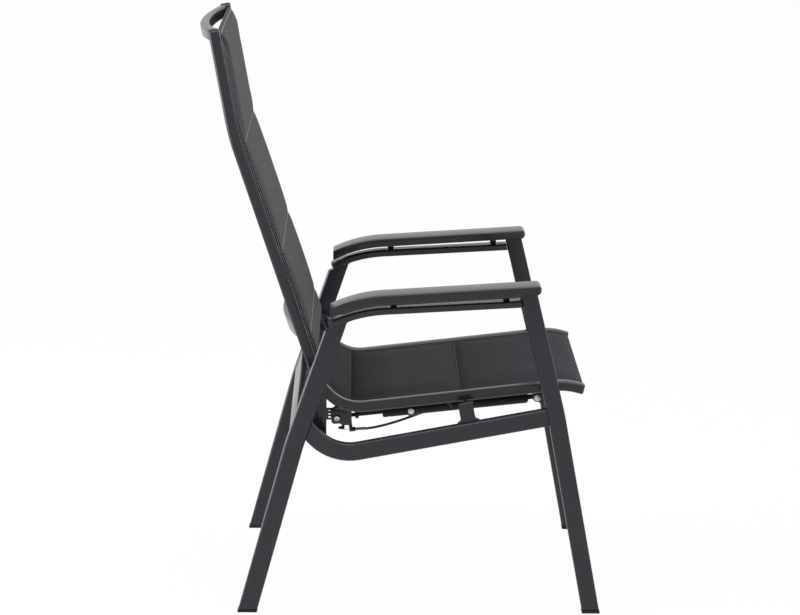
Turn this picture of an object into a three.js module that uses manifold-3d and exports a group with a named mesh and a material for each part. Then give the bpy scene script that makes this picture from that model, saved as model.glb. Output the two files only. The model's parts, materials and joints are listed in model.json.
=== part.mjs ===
// High-back reclining garden chair with a padded sling seat and back.
// The chair faces +X, its left side is +Y and up is +Z. Lengths are in millimetres.
// The origin lies on the floor under the middle of the chair's outline.

import * as THREE from 'three';
import { mergeVertices } from 'three/addons/utils/BufferGeometryUtils.js';
import Module from 'manifold-3d';

const wasm = await Module();
wasm.setup();

// Driving dimensions: the side frames
const rear_foot_x = -289.8;
const front_foot_x = 369.7;
const side_frame_y = 285;
const leg_depth = 22;
const rear_leg_face = 35;
const front_leg_face = 33;
const tube_edge = 2.5;
const rear_bend_height = 330;
const front_bend_height = 392;
const rear_bend_radius = 300;
const front_bend_radius = 400;
const rear_low_tilt = 15.3;
const rear_high_tilt = 18.7;
const front_low_tilt = 10.65;
const front_high_tilt = 13.6;
const foot_cap_height = 6;
const foot_cap_lip = 0.6;

// Driving dimensions: arm tubes and armrests
const arm_tube_width = 36;
const arm_tube_height = 13;
const arm_height = 607.8;
const arm_tube_slope = 3.34;
const arm_tube_tail_slope = 24;
const arm_bend_radius = 260;
const arm_tail = 62;
const arm_bend_behind = 321;
const armrest_width = 58;
const armrest_thickness = 17;
const armrest_gap = 11.6;
const armrest_slope = 3.75;
const armrest_tail_slope = 24.5;
const armrest_bend_radius = 250;
const armrest_tail = 59;
const armrest_bend_behind = 323;
const armrest_nose = 20;
const armrest_corner = 12;
const armrest_edge = 2;
const spacer_diameter = 12.5;
const rear_spacer_inset = 257;
const front_spacer_inset = 45;
const arm_screw_diameter = 5;
const arm_screw_head = 9.5;
const arm_screw_head_height = 3;
const arm_screw_bite = 9;

// Driving dimensions: lower rails, seat brackets and crossbars
const lower_rail_height = 33;
const lower_rail_depth = 20;
const lower_rail_slope = 10.7;
const lower_rail_front_height = 389;
const lower_rail_low_x = 423.5;
const lower_rail_tail_slope = 47.5;
const lower_rail_radius = 89;
const bracket_setback = 165.5;
const bracket_width = 28;
const bracket_above_guide = 13.5;
const bracket_hold = 12;
const bracket_depth = 16;
const bracket_inset = 10;
const bracket_foot_radius = 7;
const bracket_top_radius = 3;
const rear_crossbar_height = 45;
const rear_crossbar_depth = 20;
const rear_crossbar_level = 364;
const crossbar_inset = 2;
const front_crossbar_height = 35;
const front_crossbar_depth = 20;
const front_crossbar_level = 353;

// Driving dimensions: the tilting back
const pivot_height = 451;
const back_rail_y = 229;
const back_rail_width = 22;
const back_rail_depth = 20;
const back_rail_edge = 4;
const back_tilt = 18.7;
const head_tilt = 10.3;
const head_bend_height = 915;
const head_bend_radius = 500;
const back_height = 1110;
const back_rail_overlap = 12;
const top_bar_bow = 27;
const top_bar_height = 22;
const top_bar_thickness = 18;
const lumbar_bar_bow = 27;
const lumbar_bar_height = 33;
const lumbar_bar_thickness = 12;
const lumbar_bar_level = 539;
const arm_plate_thickness = 6;
const arm_plate_top_radius = 20;
const arm_plate_low_radius = 16;
const lower_bar_drop = 118;
const lower_bar_width = 24;
const lower_bar_height = 24;

// Driving dimensions: the sliding seat
const seat_hinge_drop = 55;
const seat_hinge_back = 6.3;
const seat_rail_width = 20.5;
const seat_rail_height = 19;
const seat_rail_edge = 3;
const seat_rail_slope = 6.7;
const seat_rail_tail_slope = 45;
const seat_rail_nose_slope = 14.5;
const seat_rail_low_drop = 64.2;
const seat_rail_low_forward = 52.7;
const seat_rail_bend_radius = 80;
const seat_rail_nose_radius = 120;
const seat_rail_rise_length = 425;
const seat_rail_nose_length = 36;
const seat_rail_tail_length = 59;
const seat_crossbar_width = 25;
const seat_crossbar_height = 9;
const front_seat_bar_inset = 52;
const rear_seat_bar_inset = 110;
const seat_track_thickness = 4;
const seat_track_drop = 15;
const seat_track_end = 8;
const seat_travel = 20.5;
const guide_bush_diameter = 8.6;
const guide_stud_diameter = 6;
const guide_play = 1.2;

// Driving dimensions: the padded slings
const hem_thickness = 3;
const hem_width = 24;
const pad_front_crown = 10.5;
const pad_rear_crown = 2.5;
const seam_width = 13;
const seat_pad_crown = 4.5;
const seat_pad_belly = 2.5;
const back_sling_offset = 6;
const seat_sling_offset = 5;

// Driving dimensions: the locking gas spring under the seat
const head_pin_drop = 137.9;
const head_pin_forward = 37.7;
const spring_front_height = 356.7;
const spring_front_setback = 25.4;
const cylinder_diameter = 23;
const cylinder_bore = 19;
const cylinder_length = 292;
const cylinder_end_wall = 12;
const cylinder_mouth = 90.5;
const rod_diameter = 8;
const rod_guide_length = 10;
const rod_engagement = 30;
const rod_thread = 14;
const piston_diameter = 18.2;
const piston_length = 12;
const spring_eye_diameter = 18;
const spring_eye_width = 12;
const spring_neck_diameter = 10;
const spring_bolt_diameter = 8;
const spring_bolt_head = 13;
const spring_bolt_head_height = 5.5;
const spring_lug_thickness = 4;
const spring_lug_radius = 10;
const spring_lug_height = 30;
const clamp_from_pin = 148;
const clamp_width = 14;
const clamp_thickness = 1.5;
const clamp_boss_diameter = 13;
const clamp_boss_height = 2;
const clamp_bolt_head = 12;
const clamp_bolt_height = 5;
const head_width = 20;
const head_front = 28;
const head_rear = 12;
const head_above = 17;
const head_below = 13;
const head_corner = 4;
const head_edge = 1.5;
const head_pin_diameter = 8;
const head_pin_play = 2.4;
const head_cap_diameter = 11;
const head_cap_thickness = 3;
const ear_thickness = 4;
const ear_gap = 22;
const rod_nut_diameter = 15;
const rod_nut_length = 6.8;
const rod_nut_start = 36;

// Driving dimensions: release lever, hand lever and cable
const cable_diameter = 5;
const release_lever_thickness = 3;
const release_lever_length = 20;
const release_lever_width = 5;
const lever_forward = 10;
const lever_drop = 8;
const lever_hub_radius = 3.6;
const lever_pin_diameter = 3;
const stop_start = 21.5;
const stop_drop = 29.5;
const stop_diameter = 9;
const stop_length = 12;
const hand_lever_thickness = 5;
const hand_lever_height = 11;
const hand_lever_reach = 84;
const hand_lever_setback = 100;
const hand_lever_drop = 0;
const hand_lever_pin = 5;
const hand_hub_radius = 6.5;
const housing_width = 20;
const housing_front = 18;
const housing_rear = 14;
const housing_above = 8;
const housing_wall = 2.5;
const housing_foot = 9;
const housing_below = 14.5;
const cable_below = 5;
const cable_seat = 8;

// Running clearances between pieces
const gap = 0.3;
const hinge_gap = 0.4;
const side_play = 1;
const cut_over = 40;
const weld = 1;

const radians = Math.PI / 180;
const tan = (degrees) => Math.tan(degrees * radians);
const sin = (degrees) => Math.sin(degrees * radians);
const cos = (degrees) => Math.cos(degrees * radians);
const at = (x, z) => new THREE.Vector2(x, z);

// Finishes
const finish = (color, roughness, metalness) =>
  new THREE.MeshStandardMaterial({ color, roughness, metalness });
const coated = () => finish(0x38393c, 0.55, 0.4);
const armrest_finish = () => finish(0x4a4b4e, 0.5, 0.2);
const black_plastic = () => finish(0x151516, 0.5, 0);
const black_steel = () => finish(0x1b1b1c, 0.45, 0.6);
const zinc = () => finish(0xb8babd, 0.3, 0.9);
const seat_cloth = () => finish(0x3c3c40, 0.9, 0);
const back_cloth = () => finish(0x515155, 0.9, 0);

// Paths and outlines in the side view

// A point moved along a direction given by its slope in degrees.
function along(point, slope, distance) {
  return at(point.x + distance * cos(slope), point.y + distance * sin(slope));
}

// A point given in a frame that is turned by a slope: s along it and t square to it.
function placed(base, slope, s, t) {
  return along(along(base, slope, s), slope + 90, t);
}

// Where two lines, each a point and a slope in degrees, cross.
function crossing(a, slope_a, b, slope_b) {
  const turn = sin(slope_b - slope_a);
  const reach = ((b.x - a.x) * sin(slope_b) - (b.y - a.y) * cos(slope_b)) / turn;
  return along(a, slope_a, reach);
}

// A polyline whose inner corners are rounded by arcs.
function roundedPath(points, radii, steps = 6) {
  const path = [points[0]];
  for (let i = 1; i < points.length - 1; i++) {
    const corner = points[i];
    const back = points[i - 1].clone().sub(corner).normalize();
    const ahead = points[i + 1].clone().sub(corner).normalize();
    const half_turn = (Math.PI - Math.acos(back.dot(ahead))) / 2;
    const tangent = radii[i - 1] * Math.tan(half_turn);
    const start = corner.clone().addScaledVector(back, tangent);
    const middle = back.clone().add(ahead).normalize();
    const reach = radii[i - 1] / Math.cos(half_turn);
    const centre = corner.clone().addScaledVector(middle, reach);
    const spoke = start.clone().sub(centre);
    const sense = back.cross(ahead) > 0 ? -1 : 1;
    for (let k = 0; k <= steps; k++) {
      const turned = spoke.clone().rotateAround(at(0, 0), (sense * 2 * half_turn * k) / steps);
      path.push(centre.clone().add(turned));
    }
  }
  path.push(points[points.length - 1]);
  return path;
}

// The unit vector to the left of a path at one of its points.
function leftOf(path, i) {
  const before = path[Math.max(i - 1, 0)];
  const after = path[Math.min(i + 1, path.length - 1)];
  const direction = after.clone().sub(before).normalize();
  return at(-direction.y, direction.x);
}

// A path moved sideways: a positive distance moves it to its left.
function offsetPath(path, distance) {
  return path.map((point, i) => point.clone().addScaledVector(leftOf(path, i), distance));
}

// The outline of a band beside a path, between two distances to its left.
function band(path, right, left) {
  return [...offsetPath(path, right), ...offsetPath(path, left).reverse()];
}
const strip = (path, width) => band(path, -width / 2, width / 2);

// The outline of everything between a path, run on at its start, and a level line.
function areaTo(path, level) {
  const back = path[0].clone().sub(path[1]).normalize();
  const first = path[0].clone().addScaledVector(back, cut_over);
  const last = path[path.length - 1];
  return [first, ...path, at(last.x, level), at(first.x, level)];
}

function circle(centre, radius, sides = 20, start = 0, sweep = 360) {
  const points = [];
  const count = sweep < 360 ? sides + 1 : sides;
  for (let k = 0; k < count; k++) {
    points.push(along(centre, start + (sweep * k) / sides, radius));
  }
  return points;
}

// Solids

// A side-view outline given its thickness across the chair, centred on y.
function slab(outline, y, thickness, edge = 0) {
  const shape = new THREE.Shape(outline);
  const geometry = new THREE.ExtrudeGeometry(shape, {
    depth: thickness - 2 * edge,
    bevelEnabled: edge > 0,
    bevelThickness: edge,
    bevelSize: edge,
    bevelOffset: -edge,
    bevelSegments: 1,
    curveSegments: 1,
  });
  geometry.rotateX(Math.PI / 2);
  geometry.translate(0, y + thickness / 2 - edge, 0);
  return geometry;
}

// A turned piece with its axis across the chair: pairs of radius and y.
function turnedAcross(profile, centre, sides = 20) {
  const points = profile.map(([radius, y]) => at(radius, y));
  const geometry = new THREE.LatheGeometry(points, sides);
  geometry.translate(centre.x, 0, centre.y);
  return geometry;
}

// A turned piece along a direction in the side view: pairs of radius and distance.
function turnedAlong(profile, start, slope, y = 0, sides = 20) {
  const points = profile.map(([radius, reach]) => at(radius, reach));
  const geometry = new THREE.LatheGeometry(points, sides);
  geometry.rotateZ(-Math.PI / 2);
  geometry.rotateY(-slope * radians);
  geometry.translate(start.x, y, start.y);
  return geometry;
}

function solidOf(geometry) {
  const bare = new THREE.BufferGeometry();
  bare.setAttribute('position', geometry.getAttribute('position'));
  if (geometry.index) bare.setIndex(geometry.index);
  const merged = mergeVertices(bare, 1e-4);
  return new wasm.Manifold(new wasm.Mesh({
    numProp: 3,
    vertProperties: new Float32Array(merged.getAttribute('position').array),
    triVerts: new Uint32Array(merged.index.array),
  }));
}

function geometryOf(solid) {
  const mesh = solid.getMesh();
  const geometry = new THREE.BufferGeometry();
  geometry.setAttribute('position', new THREE.BufferAttribute(mesh.vertProperties, 3));
  geometry.setIndex(new THREE.BufferAttribute(mesh.triVerts, 1));
  geometry.computeVertexNormals();
  return geometry;
}

const cut = (body, ...tools) =>
  geometryOf(tools.reduce((solid, tool) => solid.subtract(solidOf(tool)), solidOf(body)));
const join = (body, ...others) =>
  geometryOf(others.reduce((solid, other) => solid.add(solidOf(other)), solidOf(body)));
const keepInside = (body, limit) => geometryOf(solidOf(body).intersect(solidOf(limit)));

// The group that holds every piece
const chair = new THREE.Group();

function piece(name, geometry, material) {
  const mesh = new THREE.Mesh(geometry, material);
  mesh.name = name;
  chair.add(mesh);
}

const sides = [['left', 1], ['right', -1]];

// Side frames

// A leg's centre line: foot, bend and a top that reaches a given level.
function legPath(foot_x, bend_height, low_tilt, high_tilt, top_height, radius) {
  const bend = at(foot_x + bend_height * tan(low_tilt), bend_height);
  const top = at(bend.x + (top_height - bend_height) * tan(high_tilt), top_height);
  const foot = at(foot_x, 0);
  return { foot, bend, top, high_tilt, low_tilt, radius };
}

function legX(leg, z) {
  const tilt = z > leg.bend.y ? leg.high_tilt : leg.low_tilt;
  return leg.bend.x + (z - leg.bend.y) * tan(tilt);
}

const arm_top = arm_height + armrest_gap + armrest_thickness;
const rear_leg = legPath(
  rear_foot_x, rear_bend_height, rear_low_tilt, rear_high_tilt, arm_height, rear_bend_radius);
const front_leg = legPath(
  front_foot_x, front_bend_height, -front_low_tilt, -front_high_tilt, arm_top + cut_over,
  front_bend_radius);
const leg_inner_y = side_frame_y - leg_depth / 2;

// The arm tube runs back from the front leg and bends down over the rear leg.
const arm_front = at(legX(front_leg, arm_height), arm_height);
const arm_bend = along(arm_front, arm_tube_slope, -arm_bend_behind);
const arm_tail_end = along(arm_bend, arm_tube_tail_slope, -arm_tail);
const arm_line = roundedPath([arm_tail_end, arm_bend, arm_front], [arm_bend_radius]);

// The armrest lies above the arm tube and ends in front of the front leg.
const armrest_lift = arm_tube_height / 2 + armrest_gap + armrest_thickness / 2;
const armrest_front_x = arm_front.x + armrest_nose;
const armrest_mark = along(arm_front, 90, armrest_lift);
const armrest_front = along(armrest_mark, armrest_slope, armrest_nose);
const armrest_bend = along(armrest_mark, armrest_slope, -armrest_bend_behind);
const armrest_end = along(armrest_bend, armrest_tail_slope, -armrest_tail);
const armrest_run_on = along(armrest_end, armrest_tail_slope, -armrest_thickness);
const armrest_line = roundedPath(
  [armrest_run_on, armrest_bend, armrest_front], [armrest_bend_radius]);
const armrest_underside = offsetPath(armrest_line, -armrest_thickness / 2);

// The lower rail rises to the front leg and curves up behind to the rear leg.
const lower_rail_front = at(legX(front_leg, lower_rail_front_height), lower_rail_front_height);
const lower_rail_low = along(lower_rail_front, lower_rail_slope, -lower_rail_low_x / cos(lower_rail_slope));
const lower_rail_rear = crossing(
  lower_rail_low, 180 - lower_rail_tail_slope, rear_leg.bend, 90 - rear_high_tilt);
const lower_rail_line = roundedPath(
  [lower_rail_rear, lower_rail_low, lower_rail_front], [lower_rail_radius], 10);

// The back tilts about the pivot, and the seat rail's low corner lies in front of it.
const pivot = at(legX(rear_leg, pivot_height), pivot_height);
const seat_low = at(pivot.x + seat_rail_low_forward, pivot_height - seat_rail_low_drop);

// The seat bracket stands square on the lower rail, welded to it, and rises past the guide.
const bracket_base = placed(
  lower_rail_front, lower_rail_slope, -bracket_setback, lower_rail_height / 2);
const guide_height_in_track = seat_track_drop / 2;
const seat_under = crossing(
  bracket_base, lower_rail_slope + 90,
  along(seat_low, seat_rail_slope - 90, seat_rail_height / 2), seat_rail_slope);
const guide = along(seat_under, seat_rail_slope - 90, guide_height_in_track);
const bracket_height = bracket_base.distanceTo(guide) + bracket_above_guide;
const bracket_y = side_frame_y - bracket_inset;

function bracketOutline() {
  const half = bracket_width / 2;
  const foot = bracket_foot_radius;
  const top = bracket_top_radius;
  const side = [[half + foot, -bracket_hold]];
  for (let k = 0; k <= 4; k++) {
    const turn = (90 * k) / 4;
    side.push([half + foot - foot * sin(turn), foot - foot * cos(turn)]);
  }
  for (let k = 0; k <= 3; k++) {
    const turn = (90 * k) / 3;
    side.push([half - top + top * cos(turn), bracket_height - top + top * sin(turn)]);
  }
  const mirrored = side.map(([across, up]) => [-across, up]).reverse();
  return [...side, ...mirrored].map(
    ([across, up]) => placed(bracket_base, lower_rail_slope, across, up));
}

const wide = leg_depth + arm_tube_width + armrest_width;
const floor_cut = [
  at(rear_foot_x - cut_over * 3, -cut_over * 3), at(front_foot_x + cut_over * 3, -cut_over * 3),
  at(front_foot_x + cut_over * 3, foot_cap_height + gap),
  at(rear_foot_x - cut_over * 3, foot_cap_height + gap),
];

// A leg starts below the floor along its own line, and is cut level above its cap.
function legLine(leg) {
  const buried = at(leg.foot.x - cut_over * tan(leg.low_tilt), -cut_over);
  return roundedPath([buried, leg.bend, leg.top], [leg.radius]);
}
const legSolid = (leg, face, y) => slab(strip(legLine(leg), face), y, leg_depth, tube_edge);
const legZone = (leg, face, y) => slab(strip(legLine(leg), face + 2 * gap), y, wide);

function capOutline(leg, face) {
  const half = face / 2 / cos(leg.low_tilt) + foot_cap_lip;
  const shift = foot_cap_height * tan(leg.low_tilt);
  return [
    at(leg.foot.x - half, 0), at(leg.foot.x + half, 0),
    at(leg.foot.x + half + shift, foot_cap_height),
    at(leg.foot.x - half + shift, foot_cap_height),
  ];
}

// The armrest screws: one axis at each spacer, square to the arm tube.
const screw_bases = [rear_spacer_inset, front_spacer_inset].map(
  (inset) => along(arm_front, arm_tube_slope, -inset));
const screw_slope = arm_tube_slope + 90;
const screw_reach = arm_tube_height / 2 + armrest_gap + arm_screw_bite;

function screwHole(base, y) {
  const r = arm_screw_diameter / 2 + gap;
  const from = -arm_tube_height / 2 - arm_screw_head_height - gap;
  const to = screw_reach + gap;
  return turnedAlong([[0, from], [r, from], [r, to], [0, to]], base, screw_slope, y, 12);
}

for (const [side, s] of sides) {
  const y = s * side_frame_y;
  const arm_zone = slab(
    areaTo(offsetPath(arm_line, -arm_tube_height / 2 - gap), arm_top + cut_over), y, wide);
  const armrest_zone = slab(
    areaTo(offsetPath(armrest_underside, -gap), arm_top + cut_over * 2), y, wide);
  const rear_solid = legSolid(rear_leg, rear_leg_face, y);
  const front_solid = legSolid(front_leg, front_leg_face, y);
  const floor_zone = slab(floor_cut, y, wide);
  piece(`rear_leg_${side}`, cut(rear_solid, arm_zone, floor_zone), coated());
  piece(`front_leg_${side}`, cut(front_solid, armrest_zone, floor_zone), coated());

  const holes = screw_bases.map((base) => screwHole(base, y));
  piece(`arm_tube_${side}`, cut(
    slab(strip(arm_line, arm_tube_height), y, arm_tube_width, tube_edge),
    legZone(front_leg, front_leg_face, y), ...holes), coated());

  const rail = slab(strip(lower_rail_line, lower_rail_height), y, lower_rail_depth, tube_edge);
  const rail_between_legs = cut(
    rail, legZone(front_leg, front_leg_face, y), legZone(rear_leg, rear_leg_face, y));
  piece(`lower_rail_${side}`, join(
    rail_between_legs, slab(bracketOutline(), s * bracket_y, bracket_depth)), coated());

  // The armrest has a rounded nose, an upright rear end and rounded corners from above.
  const nose = armrest_thickness / 2;
  const nose_centre = along(armrest_front, armrest_slope, -nose);
  const body_line = [...armrest_line.slice(0, -1), nose_centre];
  const under = offsetPath(body_line, -nose);
  const over = offsetPath(body_line, nose).reverse();
  const nose_arc = circle(nose_centre, nose, 8, armrest_slope - 90, 180).slice(1, -1);
  const side_view = slab([...under, ...nose_arc, ...over], y, armrest_width, armrest_edge);
  const half = armrest_width / 2;
  const plan = new THREE.Shape([
    at(armrest_end.x, y - half), at(armrest_end.x, y + half),
    ...circle(at(armrest_front_x - armrest_corner, y + half - armrest_corner),
      armrest_corner, 6, 90, -90),
    ...circle(at(armrest_front_x - armrest_corner, y - half + armrest_corner),
      armrest_corner, 6, 0, -90),
  ]);
  const plan_solid = new THREE.ExtrudeGeometry(
    plan, { depth: arm_top + cut_over, bevelEnabled: false });
  const armrest_body = keepInside(side_view, plan_solid);
  piece(`armrest_${side}`, cut(armrest_body, ...holes), armrest_finish());

  // Spacers between tube and armrest, and the screws that pass through them from below.
  ['rear', 'front'].forEach((place, i) => {
    const low = arm_tube_height / 2 + gap;
    const rise = Math.abs(armrest_mark.x - screw_bases[i].x) * tan(armrest_slope - arm_tube_slope);
    const high = arm_tube_height / 2 + armrest_gap - gap - rise;
    const r = spacer_diameter / 2;
    const bore = arm_screw_diameter / 2 + gap;
    piece(`arm_spacer_${place}_${side}`, turnedAlong(
      [[bore, low], [r, low], [r, high], [bore, high], [bore, low]],
      screw_bases[i], screw_slope, y, 16), black_plastic());
    const head = arm_screw_head / 2;
    const shank = arm_screw_diameter / 2;
    const seat = -arm_tube_height / 2 - gap;
    piece(`arm_screw_${place}_${side}`, turnedAlong([
      [0, seat - arm_screw_head_height],
      [head * 0.6, seat - arm_screw_head_height * 0.8],
      [head, seat - arm_screw_head_height * 0.3],
      [head, seat], [shank, seat], [shank, screw_reach - gap], [0, screw_reach - gap],
    ], screw_bases[i], screw_slope, y, 12), black_steel());
  });

  for (const [place, leg, face] of [
    ['rear', rear_leg, rear_leg_face], ['front', front_leg, front_leg_face]]) {
    piece(`foot_cap_${place}_${side}`, slab(
      capOutline(leg, face), y, leg_depth + 2 * foot_cap_lip), black_plastic());
  }
}

// Crossbars between the side frames

// The section of a bar across the chair: a rectangle leaning by a tilt.
function crossbarOutline(centre, tilt, depth, height) {
  const corners = [[-depth, -height], [depth, -height], [depth, height], [-depth, height]];
  return corners.map(([across, up]) => placed(centre, -tilt, across / 2, up / 2));
}

const crossbar_span = 2 * (leg_inner_y - gap);
const rear_bar_centre = along(
  at(legX(rear_leg, rear_crossbar_level), rear_crossbar_level), -rear_high_tilt,
  -rear_leg_face / 2 + crossbar_inset + rear_crossbar_depth / 2);
const front_bar_centre = at(legX(front_leg, front_crossbar_level), front_crossbar_level);
const front_bar_outline = crossbarOutline(
  front_bar_centre, -front_low_tilt, front_crossbar_depth, front_crossbar_height);
piece('rear_crossbar', slab(crossbarOutline(
  rear_bar_centre, rear_high_tilt, rear_crossbar_depth, rear_crossbar_height),
0, crossbar_span, tube_edge), coated());
piece('front_crossbar', slab(front_bar_outline, 0, crossbar_span, tube_edge), coated());

// The lug behind the front crossbar: a plate against the bar and two ears for the bolt.
const spring_front = at(front_bar_centre.x - spring_front_setback, spring_front_height);
const lug_slope = front_low_tilt;
const lug_base = placed(front_bar_centre, lug_slope, -front_crossbar_depth / 2 - gap, 0);
const lug_plate = [
  placed(lug_base, lug_slope, 0, -spring_lug_height / 2),
  placed(lug_base, lug_slope, 0, spring_lug_height / 2),
  placed(lug_base, lug_slope, -spring_lug_thickness, spring_lug_height / 2),
  placed(lug_base, lug_slope, -spring_lug_thickness, -spring_lug_height / 2),
];
const lug_ear = [
  lug_plate[0], lug_plate[1],
  ...circle(spring_front, spring_lug_radius, 8, lug_slope + 90, 180),
];
const spring_bolt_hole = spring_bolt_diameter + 2 * gap;
const lug_ear_y = spring_eye_width / 2 + side_play / 2 + spring_lug_thickness / 2;
const lug_outer_y = lug_ear_y + spring_lug_thickness / 2;
piece('spring_lug', cut(
  join(slab(lug_plate, 0, 2 * lug_outer_y),
    slab(lug_ear, lug_ear_y, spring_lug_thickness), slab(lug_ear, -lug_ear_y, spring_lug_thickness)),
  slab(circle(spring_front, spring_bolt_hole / 2, 16), 0, 4 * lug_outer_y)), coated());

// The bolt through lug and eye: shank, hexagonal head and nut.
const bolt_face = lug_outer_y + gap;
const bolt_hex = circle(spring_front, spring_bolt_head / 2 / cos(30), 6, 30);
piece('spring_bolt', join(
  slab(circle(spring_front, spring_bolt_diameter / 2, 16), 0, 2 * bolt_face + weld),
  slab(bolt_hex, bolt_face + spring_bolt_head_height / 2, spring_bolt_head_height),
  slab(bolt_hex, -bolt_face - spring_bolt_head_height / 2, spring_bolt_head_height)), zinc());

// The tilting back

const head_bend = along(pivot, 90 + back_tilt, (head_bend_height - pivot_height) / cos(back_tilt));
const back_top = along(head_bend, 90 + head_tilt, (back_height - head_bend_height) / cos(head_tilt));
const back_low = along(pivot, 90 + back_tilt, -back_rail_overlap);
const back_line = roundedPath([back_low, head_bend, back_top], [head_bend_radius]);
const back_inner_y = back_rail_y - back_rail_width / 2;
const back_outer_y = back_rail_y + back_rail_width / 2;
const plate_y = back_outer_y + gap + arm_plate_thickness / 2;
const plate_outer_y = plate_y + arm_plate_thickness / 2;

const pivot_bolt = 10;
const pivot_hole = pivot_bolt + 2 * hinge_gap;
const pivot_flange = 26;
const pivot_flange_thickness = 4;
const pivot_collar = 18;
const pivot_nut = 17;
const pivot_nut_thickness = 7;

const holeAcross = (centre, diameter, sides_count = 20) => slab(
  circle(centre, diameter / 2, sides_count), 0, 2 * (side_frame_y + cut_over));

// The bars of the back bow to the rear: outline across the chair, then tilted.
function bowedBar(centre, tilt, bow, thickness, height, bow_count = 16) {
  const half = back_inner_y - gap;
  const radius = (half * half + bow * bow) / (2 * bow);
  const sweep = Math.asin(half / radius);
  const line = [];
  for (let k = 0; k <= bow_count; k++) {
    const turn = -sweep + (2 * sweep * k) / bow_count;
    line.push(at(radius * Math.sin(turn), radius * Math.cos(turn) - radius + bow));
  }
  const outline = strip(line, thickness).map((p) => at(Math.max(-half, Math.min(half, p.x)), p.y));
  const geometry = new THREE.ExtrudeGeometry(new THREE.Shape(outline), {
    depth: height - 2 * tube_edge, bevelEnabled: true, bevelThickness: tube_edge,
    bevelSize: tube_edge, bevelOffset: -tube_edge, bevelSegments: 1, curveSegments: 1 });
  geometry.translate(0, 0, -height / 2 + tube_edge);
  geometry.rotateZ(Math.PI / 2);
  geometry.rotateY(-tilt * radians);
  geometry.translate(centre.x, 0, centre.y);
  return geometry;
}

// The room that the padded back takes: everything in front of its rear face.
const tall_back = [...back_line, along(back_top, 90 + head_tilt, cut_over)];
const back_sling_rear = back_sling_offset - hem_thickness / 2 - pad_rear_crown - gap;
const back_sling_zone = slab(
  band(tall_back, -back_sling_rear - cut_over, -back_sling_rear), 0, 2 * side_frame_y);
const top_bar_centre = along(
  along(back_top, 90 + head_tilt, -top_bar_height / 2), 180 + head_tilt,
  back_rail_depth / 2 - top_bar_thickness / 2);
piece('top_bar', cut(bowedBar(
  top_bar_centre, head_tilt, top_bar_bow, top_bar_thickness, top_bar_height),
back_sling_zone), coated());
const lumbar_centre = along(
  along(pivot, 90 + back_tilt, (lumbar_bar_level - pivot_height) / cos(back_tilt)),
  180 + back_tilt, back_rail_depth / 2 - lumbar_bar_thickness / 2);
piece('lumbar_bar', cut(bowedBar(
  lumbar_centre, back_tilt, lumbar_bar_bow, lumbar_bar_thickness, lumbar_bar_height),
back_sling_zone), coated());

// Arm plates hang from the pivots and carry the lower bar with its two ears.
const seat_hinge = along(
  along(pivot, 270, seat_hinge_drop), 180, seat_hinge_back);
const lower_bar_centre = at(pivot.x + arm_plate_top_radius - arm_plate_low_radius - 2 * gap,
  pivot_height - lower_bar_drop);
const plate_outline = [
  ...circle(pivot, arm_plate_top_radius, 14, 0, 180),
  ...circle(lower_bar_centre, arm_plate_low_radius, 12, 180, 180),
];
const seat_bolt = 8;
const seat_bolt_hole = seat_bolt + 2 * hinge_gap;
const seat_bolt_head = 13;
const seat_bolt_head_height = 4;

for (const [side, s] of sides) {
  piece(`back_rail_${side}`, cut(
    slab(strip(back_line, back_rail_depth), s * back_rail_y, back_rail_width, back_rail_edge),
    holeAcross(pivot, pivot_hole)), coated());
  piece(`arm_plate_${side}`, cut(
    slab(plate_outline, s * plate_y, arm_plate_thickness),
    holeAcross(pivot, pivot_hole), holeAcross(seat_hinge, seat_bolt_hole)), coated());

  // The pivot bolt: flange on the leg, collar, pin through plate and rail, then its nut.
  const face = leg_inner_y - gap;
  const shoulder = plate_outer_y + side_play / 2;
  const inside = back_inner_y - side_play / 2;
  const profile = [
    [0, face], [pivot_flange / 2, face],
    [pivot_flange / 2, face - pivot_flange_thickness],
    [pivot_collar / 2, face - pivot_flange_thickness],
    [pivot_collar / 2, shoulder], [pivot_bolt / 2, shoulder],
    [pivot_bolt / 2, inside], [pivot_nut / 2, inside],
    [pivot_nut / 2, inside - pivot_nut_thickness], [0, inside - pivot_nut_thickness],
  ].map(([r, y]) => [r, s * y]);
  if (s > 0) profile.reverse();
  piece(`back_pivot_${side}`, turnedAcross(profile, pivot), zinc());
}

const ear_y = ear_gap / 2 + ear_thickness / 2;
const head_pin = at(pivot.x + head_pin_forward, pivot_height - head_pin_drop);
const spring_slope = Math.atan2(
  spring_front.y - head_pin.y, spring_front.x - head_pin.x) / radians;

// The ears reach forward from under the lower bar on two necks, with a window between.
const ear_ring = 10.5;
const ear_low = 14.3;
const ear_low_start = 12;
const ear_high = 18;
const ear_high_start = 4;
const ear_front = 29;
const ear_neck_low = 3;
const ear_neck_up = 14;
const ear_neck_front = 10;
const ear_window_front = 8.9;
const ear_window_rear = 17.3;
const ear_window_top = 9.6;
const onEar = (x, z) => at(head_pin.x + x, head_pin.y + z);
const ear_rear = lower_bar_centre.x - lower_bar_width / 2 - head_pin.x;
const ear_outline = [
  onEar(ear_rear, -ear_neck_low),
  ...circle(head_pin, ear_ring, 8, 197, 88),
  onEar(ear_low_start, -ear_low), onEar(ear_front, -ear_low),
  onEar(ear_front, ear_high), onEar(-ear_high_start, ear_high),
  onEar(-ear_neck_front, ear_neck_up), onEar(ear_rear, ear_neck_up),
];
const ear_window = slab([
  onEar(-ear_window_rear, 0), onEar(-ear_window_front, 0),
  onEar(-ear_window_front, ear_window_top), onEar(-ear_window_rear, ear_window_top),
], 0, 2 * side_frame_y);
const head_pin_hole = head_pin_diameter + 2 * (head_pin_play + hinge_gap);
const lower_bar_span = 2 * (plate_y - arm_plate_thickness / 2 - gap);
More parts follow.
